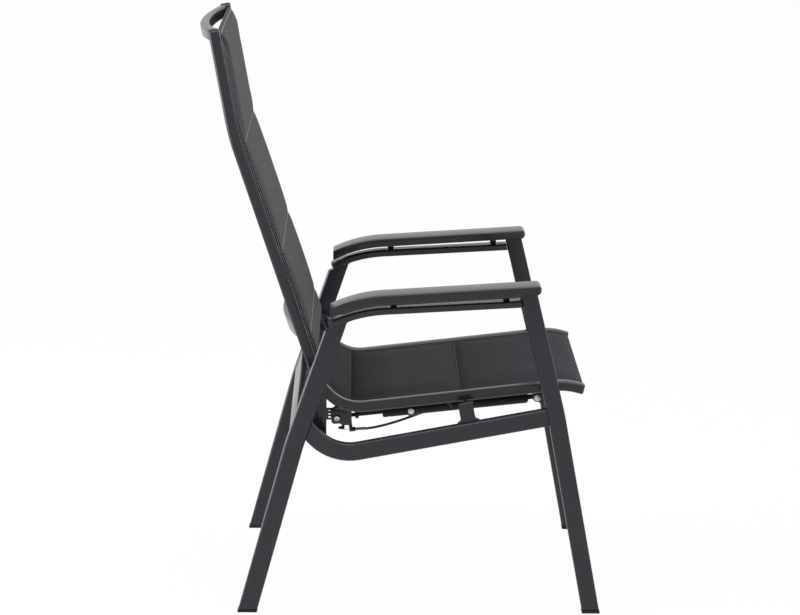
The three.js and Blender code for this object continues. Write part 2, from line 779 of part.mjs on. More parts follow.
piece('back_lower_bar', cut(
  join(slab(crossbarOutline(lower_bar_centre, 0, lower_bar_width, lower_bar_height),
    0, lower_bar_span, tube_edge),
  slab(ear_outline, ear_y, ear_thickness), slab(ear_outline, -ear_y, ear_thickness)),
  ear_window, holeAcross(head_pin, head_pin_hole, 16)), coated());

// The sliding seat

const seat_crest = along(seat_low, seat_rail_slope, seat_rail_rise_length);
const seat_nose = along(seat_crest, -seat_rail_nose_slope, seat_rail_nose_length);
const seat_tail = along(seat_low, 180 - seat_rail_tail_slope, seat_rail_tail_length);
const seat_line = roundedPath(
  [seat_tail, seat_low, seat_crest, seat_nose], [seat_rail_bend_radius, seat_rail_nose_radius], 8);
const seat_outer_y = plate_y - arm_plate_thickness / 2 - side_play;
const seat_rail_y = seat_outer_y - seat_rail_width / 2;
const seat_inner_y = seat_outer_y - seat_rail_width;

// The lug is a short bar from the rail's rear end down to the hinge.
const lug_radius = 9;
const lug_line = [along(seat_tail, -seat_rail_tail_slope, lug_radius / 2), seat_hinge];
const lug_turn = Math.atan2(lug_line[0].y - seat_hinge.y, lug_line[0].x - seat_hinge.x) / radians;
const lug_outline = [
  ...circle(lug_line[0], lug_radius, 10, lug_turn - 90, 180),
  ...circle(seat_hinge, lug_radius, 10, lug_turn + 90, 180),
];

// The guide stud on the bracket rides in a slot of the track under the seat rail.
const slot_height = guide_bush_diameter + 2 * guide_play;
const slot_front = along(guide, seat_rail_slope, guide_play);
const slot_rear = along(guide, seat_rail_slope, -seat_travel - guide_play);

function trackOutline() {
  const front = along(slot_front, seat_rail_slope, slot_height / 2 + seat_track_end);
  const rear = along(slot_rear, seat_rail_slope, -slot_height / 2 - seat_track_end);
  const up = guide_height_in_track + weld;
  const down = seat_track_drop - guide_height_in_track;
  return [
    along(rear, seat_rail_slope - 90, down), along(front, seat_rail_slope - 90, down),
    along(front, seat_rail_slope + 90, up), along(rear, seat_rail_slope + 90, up),
  ];
}
const slot_outline = [
  ...circle(slot_front, slot_height / 2, 8, seat_rail_slope - 90, 180),
  ...circle(slot_rear, slot_height / 2, 8, seat_rail_slope + 90, 180),
];
const bracket_inner_y = bracket_y - bracket_depth / 2;

for (const [side, s] of sides) {
  const y = s * seat_rail_y;
  const rail = slab(strip(seat_line, seat_rail_height), y, seat_rail_width, seat_rail_edge);
  const lug = slab(lug_outline, y, seat_rail_width);
  const track = cut(
    slab(trackOutline(), y, seat_track_thickness),
    slab(slot_outline, y, 2 * seat_track_thickness));
  piece(`seat_rail_${side}`, cut(
    join(rail, lug, track), holeAcross(seat_hinge, seat_bolt_hole)), coated());

  const bolt = [
    [0, plate_outer_y + gap + seat_bolt_head_height],
    [seat_bolt_head / 2, plate_outer_y + gap + seat_bolt_head_height],
    [seat_bolt_head / 2, plate_outer_y + gap], [seat_bolt / 2, plate_outer_y + gap],
    [seat_bolt / 2, seat_inner_y - gap], [seat_bolt_head / 2, seat_inner_y - gap],
    [seat_bolt_head / 2, seat_inner_y - gap - seat_bolt_head_height],
    [0, seat_inner_y - gap - seat_bolt_head_height],
  ].map(([r, v]) => [r, s * v]);
  if (s > 0) bolt.reverse();
  piece(`seat_hinge_bolt_${side}`, turnedAcross(bolt, seat_hinge), zinc());

  // Guide stud: flange on the bracket, shank, a wider end that keeps the bush on.
  const stud_face = bracket_inner_y - gap;
  const track_out = seat_rail_y + seat_track_thickness / 2 + side_play;
  const track_in = seat_rail_y - seat_track_thickness / 2 - side_play;
  const stud_flange = 16;
  const stud_flange_thickness = 3;
  const stud = [
    [0, stud_face], [stud_flange / 2, stud_face],
    [stud_flange / 2, stud_face - stud_flange_thickness],
    [guide_stud_diameter / 2, stud_face - stud_flange_thickness],
    [guide_stud_diameter / 2, track_in - gap], [guide_bush_diameter / 2, track_in - gap],
    [guide_bush_diameter / 2, track_in - gap - stud_flange_thickness],
    [0, track_in - gap - stud_flange_thickness],
  ].map(([r, v]) => [r, s * v]);
  if (s > 0) stud.reverse();
  piece(`guide_stud_${side}`, turnedAcross(stud, guide, 16), zinc());
  const bore = guide_stud_diameter / 2 + gap;
  const bush = [
    [bore, track_out], [guide_bush_diameter / 2, track_out],
    [guide_bush_diameter / 2, track_in], [bore, track_in], [bore, track_out],
  ].map(([r, v]) => [r, s * v]);
  if (s > 0) bush.reverse();
  piece(`guide_bush_${side}`, turnedAcross(bush, guide, 16), black_plastic());
}

// Flat bars under the sling keep the seat rails apart.
const seat_bar_span = 2 * (seat_inner_y - gap);
const seat_pad_underside = seat_sling_offset - hem_thickness / 2 - seat_pad_belly;
const bar_drop = seat_crossbar_height / 2 - seat_pad_underside + 2 * gap;
const front_seat_bar = along(along(
  seat_crest, seat_rail_slope, -front_seat_bar_inset), seat_rail_slope - 90, bar_drop);
const rear_seat_bar = along(along(
  seat_low, seat_rail_slope, rear_seat_bar_inset), seat_rail_slope - 90, bar_drop);
for (const [name, centre] of [['front', front_seat_bar], ['rear', rear_seat_bar]]) {
  piece(`seat_crossbar_${name}`, slab(crossbarOutline(
    centre, -seat_rail_slope, seat_crossbar_width, seat_crossbar_height),
  0, seat_bar_span, tube_edge), coated());
}

// The locking gas spring

// Cylinder: an eye on the bolt, a neck, and a bore whose mouth guides the rod.
const spring_back = spring_slope + 180;
const spring_span = spring_front.distanceTo(head_pin);
const mouth = spring_span - cylinder_mouth;
const neck_end = mouth - cylinder_length;
const guide_radius = rod_diameter / 2 + gap;
const bore_end = neck_end + cylinder_end_wall;
const cylinder_body = turnedAlong([
  [0, 0], [spring_neck_diameter / 2, 0], [spring_neck_diameter / 2, neck_end],
  [cylinder_diameter / 2, neck_end], [cylinder_diameter / 2, mouth],
  [guide_radius, mouth], [guide_radius, mouth - rod_guide_length],
  [cylinder_bore / 2, mouth - rod_guide_length], [cylinder_bore / 2, bore_end], [0, bore_end],
], spring_front, spring_back, 0, 16);
piece('gas_cylinder', cut(
  join(cylinder_body, slab(circle(spring_front, spring_eye_diameter / 2, 20), 0, spring_eye_width)),
  slab(circle(spring_front, spring_bolt_diameter / 2 + hinge_gap, 16), 0, 2 * spring_eye_width)),
black_steel());

// A clamp round the cylinder, with the bolt that closes it on the right side.
const clamp_middle = spring_span - clamp_from_pin;
const clamp_inner = cylinder_diameter / 2 + gap;
const clamp_outer = clamp_inner + clamp_thickness;
const clamp_start = clamp_middle - clamp_width / 2;
const clamp_ring = turnedAlong([
  [clamp_inner, clamp_start], [clamp_outer, clamp_start],
  [clamp_outer, clamp_start + clamp_width], [clamp_inner, clamp_start + clamp_width],
  [clamp_inner, clamp_start],
], spring_front, spring_back, 0, 20);
const clamp_centre = along(spring_front, spring_back, clamp_middle);
const clamp_boss_end = clamp_outer + clamp_boss_height;
piece('spring_clamp', join(clamp_ring, slab(
  circle(clamp_centre, clamp_boss_diameter / 2, 16),
  -(clamp_inner + weld + clamp_boss_end) / 2, clamp_boss_end - clamp_inner - weld)), black_steel());
piece('clamp_bolt', slab(
  circle(clamp_centre, clamp_bolt_head / 2 / cos(30), 6, 30),
  -clamp_boss_end - gap - clamp_bolt_height / 2, clamp_bolt_height), zinc());

// Piston and rod: the rod screws into the release head.
const rod_inner = cylinder_mouth + rod_guide_length + rod_engagement;
piece('piston_rod', turnedAlong([
  [0, head_front - rod_thread], [rod_diameter / 2, head_front - rod_thread],
  [rod_diameter / 2, rod_inner], [piston_diameter / 2, rod_inner],
  [piston_diameter / 2, rod_inner + piston_length], [0, rod_inner + piston_length],
], head_pin, spring_slope, 0, 16), black_steel());
const nut_hole = guide_radius / cos(30);
const nut_corner = rod_nut_diameter / 2 / cos(30);
piece('rod_lock_nut', turnedAlong([
  [nut_hole, rod_nut_start], [nut_corner, rod_nut_start], [nut_corner, rod_nut_start + rod_nut_length],
  [nut_hole, rod_nut_start + rod_nut_length], [nut_hole, rod_nut_start],
], head_pin, spring_slope, 0, 6), black_steel());

// Release head: a block between the ears, slotted from below for the release lever.
const onHead = (s, t) => placed(head_pin, spring_slope, s, t);
const head_outline = [
  onHead(-head_rear, head_corner - head_below), onHead(head_corner - head_rear, -head_below),
  onHead(head_front, -head_below), onHead(head_front, head_above - head_corner),
  onHead(head_front - head_corner, head_above), onHead(head_corner - head_rear, head_above),
  onHead(-head_rear, head_above - head_corner),
];
const lever_pivot = onHead(lever_forward, -lever_drop);
const lever_slot = [
  onHead(lever_forward - lever_hub_radius - gap * 2, -head_below - cut_over),
  onHead(lever_forward + lever_hub_radius * 2, -head_below - cut_over),
  onHead(lever_forward + lever_hub_radius * 2, lever_hub_radius + gap * 2 - lever_drop),
  onHead(lever_forward - lever_hub_radius - gap * 2, lever_hub_radius + gap * 2 - lever_drop),
];
const rod_hole = turnedAlong([
  [0, head_front - rod_thread - gap], [guide_radius, head_front - rod_thread - gap],
  [guide_radius, head_front + cut_over], [0, head_front + cut_over],
], head_pin, spring_slope, 0, 16);
const slotted_head = cut(
  slab(head_outline, 0, head_width, head_edge),
  slab(lever_slot, 0, release_lever_thickness + side_play), rod_hole,
  slab(circle(head_pin, head_pin_diameter / 2 + gap, 16), 0, 2 * head_width));
piece('release_head', join(slotted_head, slab(
  circle(lever_pivot, lever_pin_diameter / 2, 10), 0, head_width - weld)), black_plastic());

// Head pin: through the head and both ears, with a cap at each end.
const ear_outer_y = ear_y + ear_thickness / 2;
const cap_start = ear_outer_y + side_play / 2;
const cap_end = cap_start + head_cap_thickness;
piece('head_pin', turnedAcross([
  [0, -cap_end], [head_cap_diameter / 2, -cap_end], [head_cap_diameter / 2, -cap_start],
  [head_pin_diameter / 2, -cap_start], [head_pin_diameter / 2, cap_start],
  [head_cap_diameter / 2, cap_start], [head_cap_diameter / 2, cap_end], [0, cap_end],
], head_pin, 16), zinc());

// Release lever: a hub on its pin, an arm down to the cable and a hook behind it.
const lever_end = release_lever_length;
const half_lever = release_lever_width / 2;
const onLever = (s, t) => placed(lever_pivot, spring_slope, s, t);
const lever_outline = [
  ...circle(lever_pivot, lever_hub_radius, 8, spring_slope, 180),
  onLever(-half_lever, half_lever * 3 - lever_end),
  onLever(-half_lever * 4, half_lever * 2.4 - lever_end),
  onLever(-half_lever * 4, half_lever - lever_end),
  onLever(0, -lever_end), onLever(half_lever, half_lever - lever_end),
];
piece('release_lever', cut(
  slab(lever_outline, 0, release_lever_thickness),
  slab(circle(lever_pivot, lever_pin_diameter / 2 + hinge_gap, 10), 0, head_width)), black_steel());

// Cable stop: a barrel under the head, held by a short strap.
const stop_radius = stop_diameter / 2;
const stop_strap = [
  onHead(stop_start, -head_below - gap), onHead(stop_start, -stop_drop),
  onHead(head_front, -stop_drop), onHead(head_front, -head_below - gap),
];
const stop_base = onHead(0, -stop_drop);
const funnel = stop_radius - gap * 4;
piece('cable_stop', cut(
  join(slab(stop_strap, 0, stop_diameter), turnedAlong([
    [0, stop_start], [stop_radius, stop_start],
    [stop_radius, stop_start + stop_length], [0, stop_start + stop_length],
  ], stop_base, spring_slope, 0, 16)),
  turnedAlong([
    [0, stop_start - cut_over], [funnel, stop_start - cut_over],
    [funnel, stop_start + stop_length / 2], [0, stop_start + stop_length / 2],
  ], stop_base, spring_slope, 0, 12)), black_plastic());

// Hand lever on the inner side of the right arm tube

const hand_pivot = placed(arm_front, arm_tube_slope, -hand_lever_setback, -hand_lever_drop);
const onHand = (s, t) => placed(hand_pivot, arm_tube_slope, s, t);
const housing_outer_y = -side_frame_y + arm_tube_width / 2 + gap;
const housing_inner_y = housing_outer_y + housing_width;
const lever_room = hand_lever_thickness + side_play;
const hand_block_width = lever_room + 2 * housing_wall;
const hand_block_outer_y = housing_inner_y - hand_block_width;
const hand_lever_y = housing_inner_y - hand_block_width / 2;
const housing_outline = [
  onHand(-housing_rear, -housing_below), onHand(housing_front, -housing_below),
  onHand(housing_front, housing_above), onHand(-housing_rear, housing_above),
];
const foot_half = housing_foot / 2;
const foot_outline = [
  onHand(-housing_rear, -foot_half), onHand(housing_front, -foot_half),
  onHand(housing_front, foot_half), onHand(-housing_rear, foot_half),
];
const foot_width = hand_block_outer_y + weld - housing_outer_y;
const housing_slot = [
  onHand(-hand_hub_radius - hinge_gap * 2, -hand_hub_radius - hinge_gap),
  onHand(housing_front + cut_over, -hand_hub_radius - hinge_gap),
  onHand(housing_front + cut_over, housing_above + cut_over),
  onHand(-hand_hub_radius - hinge_gap * 2, housing_above + cut_over),
];
const cable_seat_base = onHand(0, cable_below - housing_below);
const cable_hole = turnedAlong([
  [0, housing_front - cable_seat], [cable_diameter / 2 + gap, housing_front - cable_seat],
  [cable_diameter / 2 + gap, housing_front + cut_over], [0, housing_front + cut_over],
], cable_seat_base, arm_tube_slope, hand_lever_y, 12);
piece('lever_housing', join(
  cut(slab(housing_outline, hand_lever_y, hand_block_width),
    slab(housing_slot, hand_lever_y, lever_room), cable_hole),
  slab(foot_outline, housing_outer_y + foot_width / 2, foot_width),
  slab(circle(hand_pivot, hand_lever_pin / 2, 12), hand_lever_y, hand_block_width - weld)),
black_plastic());

const grip = hand_lever_height / 2;
const hand_lever_outline = [
  ...circle(hand_pivot, hand_hub_radius, 12, 90, 180),
  onHand(hand_lever_reach - grip, -grip),
  ...circle(onHand(hand_lever_reach - grip, 0), grip, 6, arm_tube_slope - 90, 180).slice(1, -1),
  onHand(hand_lever_reach - grip, grip),
];
piece('hand_lever', cut(
  slab(hand_lever_outline, hand_lever_y, hand_lever_thickness),
  slab(circle(hand_pivot, hand_lever_pin / 2 + hinge_gap, 12), hand_lever_y, hand_block_width)),
black_plastic());

// Release cable, from the stop under the spring to the lever housing on the arm tube.
// It loops loosely under the seat, crosses on the front crossbar and climbs the front leg.
const cable_under_seat = [
  [-62, 2, 288], [-32, 5, 293], [-2, 8, 301], [28, 11, 311], [56, 14, 321], [88, 16, 331],
  [138, 18, 341], [198, 19, 349], [248, 19, 361],
];
const cable_to_arm = [
  [248, 19, 361], [264, 18.6, 365], [278, 14, 371], [290, 2, 375.5], [296, -18, 375], [297, -60, 374],
  [297, -140, 374], [297, -215, 375], [297, -248, 380], [296, -264, 394], [292, -269, 416],
  [282, -269.5, 456], [267, -269.5, 518], [260.5, -269, 545], [253.6, -266, 573.7],
  [243, -261.3, 589.6], [224.6, -256.3, 595.1], [205, -253.2, 595.7],
];
const place3 = ([x, y, z]) => new THREE.Vector3(x, y, z);

function cableAlong(points, steps) {
  const curve = new THREE.CatmullRomCurve3(points, false, 'centripetal');
  const section = new THREE.Shape(circle(at(0, 0), cable_diameter / 2, 8));
  return new THREE.ExtrudeGeometry(section, { steps, extrudePath: curve, bevelEnabled: false });
}
const stop_exit = placed(stop_base, spring_slope, stop_start + stop_length + gap, 0);
const stop_lead = placed(stop_base, spring_slope, stop_start + stop_length + cable_diameter, 0);
const housing_exit = placed(
  cable_seat_base, arm_tube_slope, housing_front - cable_seat + gap, 0);
const housing_lead = placed(
  cable_seat_base, arm_tube_slope, housing_front + cable_diameter * 3, 0);
const acrossAt = (point, y) => new THREE.Vector3(point.x, y, point.y);
piece('release_cable_rear', cableAlong([
  acrossAt(stop_exit, 0), acrossAt(stop_lead, 0), ...cable_under_seat.map(place3)], 26), black_plastic());
const joint_ahead = place3(cable_to_arm[1]).sub(place3(cable_to_arm[0])).setLength(gap);
piece('release_cable_front', cableAlong([
  place3(cable_to_arm[0]).add(joint_ahead), ...cable_to_arm.slice(1).map(place3),
  acrossAt(housing_lead, hand_lever_y), acrossAt(housing_exit, hand_lever_y)], 50), black_plastic());

// Padded slings

// Length along a path at each of its points.
function lengths(path) {
  const sums = [0];
  for (let i = 1; i < path.length; i++) sums.push(sums[i - 1] + path[i].distanceTo(path[i - 1]));
  return sums;
}

// The point and left normal at a distance along a path.
function pointAt(path, sums, distance) {
  let i = 1;
  while (i < path.length - 1 && sums[i] < distance) i++;
  const t = (distance - sums[i - 1]) / (sums[i] - sums[i - 1]);
  const point = path[i - 1].clone().lerp(path[i], t);
  const normal = leftOf(path, i - 1).lerp(leftOf(path, i), t).normalize();
  return { point, normal };
}

// How full the padding is at a place: 0 on hems and seams, 1 between them.
function fullness(u, v, seams, half) {
  const smooth = (t) => {
    const c = Math.max(0, Math.min(1, t));
    return c * c * (3 - 2 * c);
  };
  let value = smooth((half - Math.abs(v) - hem_width) / seam_width / 2);
  for (const seam of seams) value *= smooth(Math.abs(u - seam) / seam_width);
  return Math.sqrt(value);
}

// A padded sheet along a path: columns follow the seams, rows cross the chair.
function paddedSling(path, from, to, seams, half, offset, over, under) {
  const sums = lengths(path);
  const marks = [from, ...seams, to];
  const stations = [from];
  for (let k = 1; k < marks.length; k++) {
    const start = marks[k - 1];
    const span = marks[k] - start;
    for (const share of [0.07, 0.16, 0.38, 0.62, 0.84, 0.93, 1]) stations.push(start + span * share);
  }
  const row_shares = [-1, -0.88, -0.82, -0.72, -0.5, -0.25, 0, 0.25, 0.5, 0.72, 0.82, 0.88, 1];
  const columns = row_shares.length;
  const positions = [];
  for (const face of [1, -1]) {
    for (const u of stations) {
      const { point, normal } = pointAt(path, sums, u);
      for (const share of row_shares) {
        const full = fullness(u, share * half, [from, ...seams, to], half);
        const crown = face > 0 ? over : under;
        const lift = offset + face * (hem_thickness / 2 + crown * full);
        const place = point.clone().addScaledVector(normal, lift);
        positions.push(place.x, share * half, place.y);
      }
    }
  }
  const index = [];
  const last = stations.length - 1;
  const layer = stations.length * columns;
  const quad = (a, b, c, d) => index.push(a, b, c, a, c, d);
  for (let i = 0; i < last; i++) {
    for (let j = 0; j < columns - 1; j++) {
      const a = i * columns + j;
      quad(a, a + columns, a + columns + 1, a + 1);
      quad(layer + a, layer + a + 1, layer + a + columns + 1, layer + a + columns);
    }
    const low = i * columns;
    const high = low + columns - 1;
    quad(low, layer + low, layer + low + columns, low + columns);
    quad(high, high + columns, layer + high + columns, layer + high);
  }
  for (let j = 0; j < columns - 1; j++) {
    const a = j;
    const b = last * columns + j;
    quad(a, a + 1, layer + a + 1, layer + a);
    quad(b, layer + b, layer + b + 1, b + 1);
  }
  const geometry = new THREE.BufferGeometry();
  geometry.setAttribute('position', new THREE.Float32BufferAttribute(positions, 3));
  geometry.setIndex(index);
  geometry.computeVertexNormals();
  return geometry;
}

const back_length = lengths(back_line).at(-1);
const back_sling_start = 38;
const back_sling_end = back_length - 5;
const back_reach = (z) => back_rail_overlap + (z - pivot_height) / cos(back_tilt);
const back_seams = [527, 687, 893].map((z) => back_reach(z));
piece('back_sling', paddedSling(
  back_line, back_sling_start, back_sling_end, back_seams, back_inner_y - gap,
  -back_sling_offset, pad_rear_crown, pad_front_crown), back_cloth());

const seat_length = lengths(seat_line).at(-1);
const seat_seams = [66, 282];
piece('seat_sling', paddedSling(
  seat_line, side_play, seat_length - gap, seat_seams, seat_inner_y - gap,
  seat_sling_offset, seat_pad_crown, seat_pad_belly), seat_cloth());

export default chair;
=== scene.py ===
import json
import math

import bmesh
import bpy
import numpy as np
from mathutils import Matrix, Vector
from mathutils.bvhtree import BVHTree


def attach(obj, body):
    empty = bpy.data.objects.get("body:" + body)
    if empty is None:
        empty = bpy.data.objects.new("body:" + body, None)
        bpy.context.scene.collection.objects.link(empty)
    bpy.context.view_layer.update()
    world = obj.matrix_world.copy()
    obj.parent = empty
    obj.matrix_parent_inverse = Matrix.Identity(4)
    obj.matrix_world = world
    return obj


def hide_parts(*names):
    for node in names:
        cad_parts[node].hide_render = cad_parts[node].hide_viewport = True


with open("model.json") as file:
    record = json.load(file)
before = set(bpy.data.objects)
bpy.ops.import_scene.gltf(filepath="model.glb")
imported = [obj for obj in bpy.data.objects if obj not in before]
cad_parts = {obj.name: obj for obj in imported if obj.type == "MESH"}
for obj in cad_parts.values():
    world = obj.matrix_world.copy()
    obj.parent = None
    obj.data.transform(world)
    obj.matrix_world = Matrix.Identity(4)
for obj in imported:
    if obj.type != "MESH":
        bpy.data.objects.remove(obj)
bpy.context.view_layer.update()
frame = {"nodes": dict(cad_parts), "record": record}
nodes = frame["nodes"]

# The view: a long lens at standing height, on the right side of the chair, looking
# slightly down on the seat. The picture is 800 by 615 pixels.
eye = Vector((-0.0738, -5.562, 1.723))
look_down = math.radians(12.05)
look_aside = math.radians(0.79)
lean = math.radians(0.45)
sensor_width = 36.0
picture_width = 800
focal_pixels = 2875

ahead = Vector((math.sin(look_aside) * math.cos(look_down),
                math.cos(look_aside) * math.cos(look_down), -math.sin(look_down)))
level = Vector((math.cos(look_aside), -math.sin(look_aside), 0))
above = level.cross(ahead)
right = level * math.cos(lean) + above * math.sin(lean)
up = above * math.cos(lean) - level * math.sin(lean)
camera_data = bpy.data.cameras.new("camera")
camera_data.sensor_width = sensor_width
camera_data.lens = focal_pixels * sensor_width / picture_width
camera_data.clip_end = 60
camera = bpy.data.objects.new("camera", camera_data)
bpy.context.collection.objects.link(camera)
turn = Matrix((right, up, -ahead)).transposed().to_4x4()
camera.matrix_world = Matrix.Translation(eye) @ turn
bpy.context.scene.camera = camera
bpy.context.scene.view_settings.view_transform = "Standard"


# The release cable: a steel wire in a black plastic sheath, from the barrel under the
# gas spring's head, in a loose line below the seat and up the right front leg, to the
# hand lever. It is in two stretches, because the first moves with the gas spring.
def link_nodes(tree, *pairs):
    for out, into in pairs:
        tree.links.new(out, into)


def noise(tree, coords, scale, detail):
    texture = tree.nodes.new("ShaderNodeTexNoise")
    texture.inputs["Scale"].default_value = scale
    texture.inputs["Detail"].default_value = detail
    tree.links.new(coords, texture.inputs["Vector"])
    return texture.outputs["Fac"]


def bumped(tree, height, strength, depth):
    bump = tree.nodes.new("ShaderNodeBump")
    bump.inputs["Strength"].default_value = strength
    bump.inputs["Distance"].default_value = depth
    tree.links.new(height, bump.inputs["Height"])
    return bump.outputs["Normal"]


def two_toned(tree, share, dark, light):
    """A colour between two, as share goes from 0 to 1."""
    tone = tree.nodes.new("ShaderNodeMix")
    tone.data_type = "RGBA"
    tone.inputs["A"].default_value = (*dark, 1)
    tone.inputs["B"].default_value = (*light, 1)
    tree.links.new(share, tone.inputs["Factor"])
    return tone.outputs["Result"]


def ranged(tree, value, low, high, start=0.0, stop=1.0, smooth=False):
    """A value brought from the range start to stop into the range low to high."""
    ramp = tree.nodes.new("ShaderNodeMapRange")
    ramp.interpolation_type = "SMOOTHSTEP" if smooth else "LINEAR"
    ramp.inputs["From Min"].default_value = start
    ramp.inputs["From Max"].default_value = stop
    ramp.inputs["To Min"].default_value = low
    ramp.inputs["To Max"].default_value = high
    tree.links.new(value, ramp.inputs["Value"])
    return ramp.outputs["Result"]


grains_to_a_cloud = 60
gloss_spread = 0.12


def grained(name, dark, light, roughness, grain, depth, metallic=0.0, specular=0.5):
    """A finish with a fine grain and cloudy changes of tone between two colours."""
    material = bpy.data.materials.new(name)
    material.use_nodes = True
    tree = material.node_tree
    shader = tree.nodes["Principled BSDF"]
    coords = tree.nodes.new("ShaderNodeTexCoord").outputs["Object"]
    speckle = noise(tree, coords, grain, detail=2)
    cloud = noise(tree, coords, grain / grains_to_a_cloud, detail=3)
    gloss = ranged(tree, speckle, roughness * (1 - gloss_spread),
                   roughness * (1 + gloss_spread))
    shader.inputs["Metallic"].default_value = metallic
    shader.inputs["Specular IOR Level"].default_value = specular
    link_nodes(tree, (two_toned(tree, cloud, dark, light), shader.inputs["Base Color"]),
               (gloss, shader.inputs["Roughness"]),
               (bumped(tree, speckle, 1.0, depth), shader.inputs["Normal"]))
    return material


def loose_line(route, between=8):
    """A smooth line through the points of a route, as a bent cable takes it."""
    points = [np.array(p, dtype=float) for p in route]
    points = [2 * points[0] - points[1], *points, 2 * points[-1] - points[-2]]
    line = []
    for a, b, c, d in zip(points, points[1:], points[2:], points[3:]):
        ta = 0.0
        tb = ta + math.sqrt(np.linalg.norm(b - a))
        tc = tb + math.sqrt(np.linalg.norm(c - b))
        td = tc + math.sqrt(np.linalg.norm(d - c))
        for t in np.linspace(tb, tc, between, endpoint=False):
            ab = (tb - t) / (tb - ta) * a + (t - ta) / (tb - ta) * b
            bc = (tc - t) / (tc - tb) * b + (t - tb) / (tc - tb) * c
            cd = (td - t) / (td - tc) * c + (t - tc) / (td - tc) * d
            abc = (tc - t) / (tc - ta) * ab + (t - ta) / (tc - ta) * bc
            bcd = (td - t) / (td - tb) * bc + (t - tb) / (td - tb) * cd
            line.append((tc - t) / (tc - tb) * abc + (t - tb) / (tc - tb) * bcd)
    return line + [points[-2]]


sheath_black = grained("cable sheath", (0.010, 0.010, 0.011), (0.016, 0.016, 0.017),
                       roughness=0.38, grain=700, depth=0.00002)
cable_diameter = 0.005


def cable(name, route, body, node):
    line = loose_line(route)
    curve = bpy.data.curves.new(name, "CURVE")
    curve.dimensions = "3D"
    curve.bevel_depth = cable_diameter / 2
    curve.bevel_resolution = 3
    curve.use_fill_caps = True
    spline = curve.splines.new("POLY")
    spline.points.add(len(line) - 1)
    for place, point in zip(spline.points, line):
        place.co = (*point, 1)
    spline.use_smooth = True
    curve.materials.append(sheath_black)
    piece = bpy.data.objects.new(name, curve)
    bpy.context.collection.objects.link(piece)
    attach(piece, body)
    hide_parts(node)


cable("release_cable_under_seat", [
    (-0.08406, 0, 0.28745), (-0.07939, 0, 0.28796), (-0.062, 0.002, 0.288),
    (-0.032, 0.005, 0.293), (-0.002, 0.008, 0.301), (0.028, 0.011, 0.311),
    (0.056, 0.014, 0.321), (0.088, 0.016, 0.331), (0.138, 0.018, 0.341),
    (0.198, 0.019, 0.349), (0.248, 0.019, 0.361),
], "piston", "release_cable_rear")
cable("release_cable_to_lever", [
    (0.248291, 0.018993, 0.361073), (0.264, 0.0186, 0.365), (0.278, 0.014, 0.371),
    (0.290, 0.002, 0.3755), (0.296, -0.018, 0.375), (0.297, -0.060, 0.374),
    (0.297, -0.140, 0.374), (0.297, -0.215, 0.375), (0.297, -0.248, 0.380),
    (0.296, -0.264, 0.394), (0.292, -0.269, 0.416), (0.282, -0.2695, 0.456),
    (0.267, -0.2695, 0.518), (0.2605, -0.269, 0.545), (0.2536, -0.266, 0.5737),
    (0.243, -0.2613, 0.5896), (0.2246, -0.2563, 0.5951), (0.205, -0.2532, 0.5957),
    (0.177445, -0.2522, 0.594413), (0.154783, -0.2522, 0.59309),
], "base", "release_cable_front")


# The studio: a pale floor that runs out of sight, a white surround that is dimmer
# on the camera's side, and four large soft lamps above, in front and behind.
def calculated(tree, operation, *terms, clamp=False):
    """The result of a Math node, whose terms are sockets or plain numbers."""
    node = tree.nodes.new("ShaderNodeMath")
    node.operation = operation
    node.use_clamp = clamp
    for inlet, term in zip(node.inputs, terms):
        if isinstance(term, (int, float)):
            inlet.default_value = term
        else:
            tree.links.new(term, inlet)
    return node.outputs[0]


def background_rays(tree):
    """1 for the rays that show the background: seen, mirrored or through glass."""
    rays = tree.nodes.new("ShaderNodeLightPath")
    total = rays.outputs["Is Camera Ray"]
    for kind in ("Is Glossy Ray", "Is Transmission Ray"):
        total = calculated(tree, "ADD", total, rays.outputs[kind], clamp=True)
    return total


light_on_camera_side = 0.38
light_on_far_side = 0.95
world = bpy.data.worlds.new("white surround")
bpy.context.scene.world = world
world.use_nodes = True
sky = world.node_tree
sky.nodes.clear()
direction = sky.nodes.new("ShaderNodeTexCoord")
split = sky.nodes.new("ShaderNodeSeparateXYZ")
side_light = ranged(sky, split.outputs["Y"], light_on_camera_side, light_on_far_side,
                    start=-1, stop=0.6)
seen = sky.nodes.new("ShaderNodeMix")
seen.inputs["B"].default_value = 1
backing = sky.nodes.new("ShaderNodeBackground")
sky_out = sky.nodes.new("ShaderNodeOutputWorld")
link_nodes(sky, (direction.outputs["Generated"], split.inputs[0]),
           (side_light, seen.inputs["A"]),
           (background_rays(sky), seen.inputs["Factor"]),
           (seen.outputs["Result"], backing.inputs["Strength"]),
           (backing.outputs[0], sky_out.inputs["Surface"]))

floor_reach = 40
floor_glow = 0.96
floor_mesh = bpy.data.meshes.new("floor")
floor_mesh.from_pydata([(-floor_reach, -floor_reach, 0), (floor_reach, -floor_reach, 0),
                        (floor_reach, floor_reach, 0), (-floor_reach, floor_reach, 0)],
                       [], [(0, 1, 2, 3)])
floor = bpy.data.objects.new("floor", floor_mesh)
bpy.context.collection.objects.link(floor)
pale = bpy.data.materials.new("pale floor")
pale.use_nodes = True
pale_tree = pale.node_tree
pale_tree.nodes.clear()
pale_matt = pale_tree.nodes.new("ShaderNodeBsdfDiffuse")
pale_matt.inputs["Color"].default_value = (0.9, 0.9, 0.9, 1)
pale_glow = pale_tree.nodes.new("ShaderNodeEmission")
pale_glow.inputs["Color"].default_value = (1, 1, 1, 1)
pale_mix = pale_tree.nodes.new("ShaderNodeMixShader")
pale_out = pale_tree.nodes.new("ShaderNodeOutputMaterial")
glow_share = calculated(pale_tree, "MULTIPLY", background_rays(pale_tree), floor_glow)
link_nodes(pale_tree, (glow_share, pale_mix.inputs["Fac"]),
           (pale_matt.outputs[0], pale_mix.inputs[1]),
           (pale_glow.outputs[0], pale_mix.inputs[2]),
           (pale_mix.outputs[0], pale_out.inputs["Surface"]))
floor_mesh.materials.append(pale)


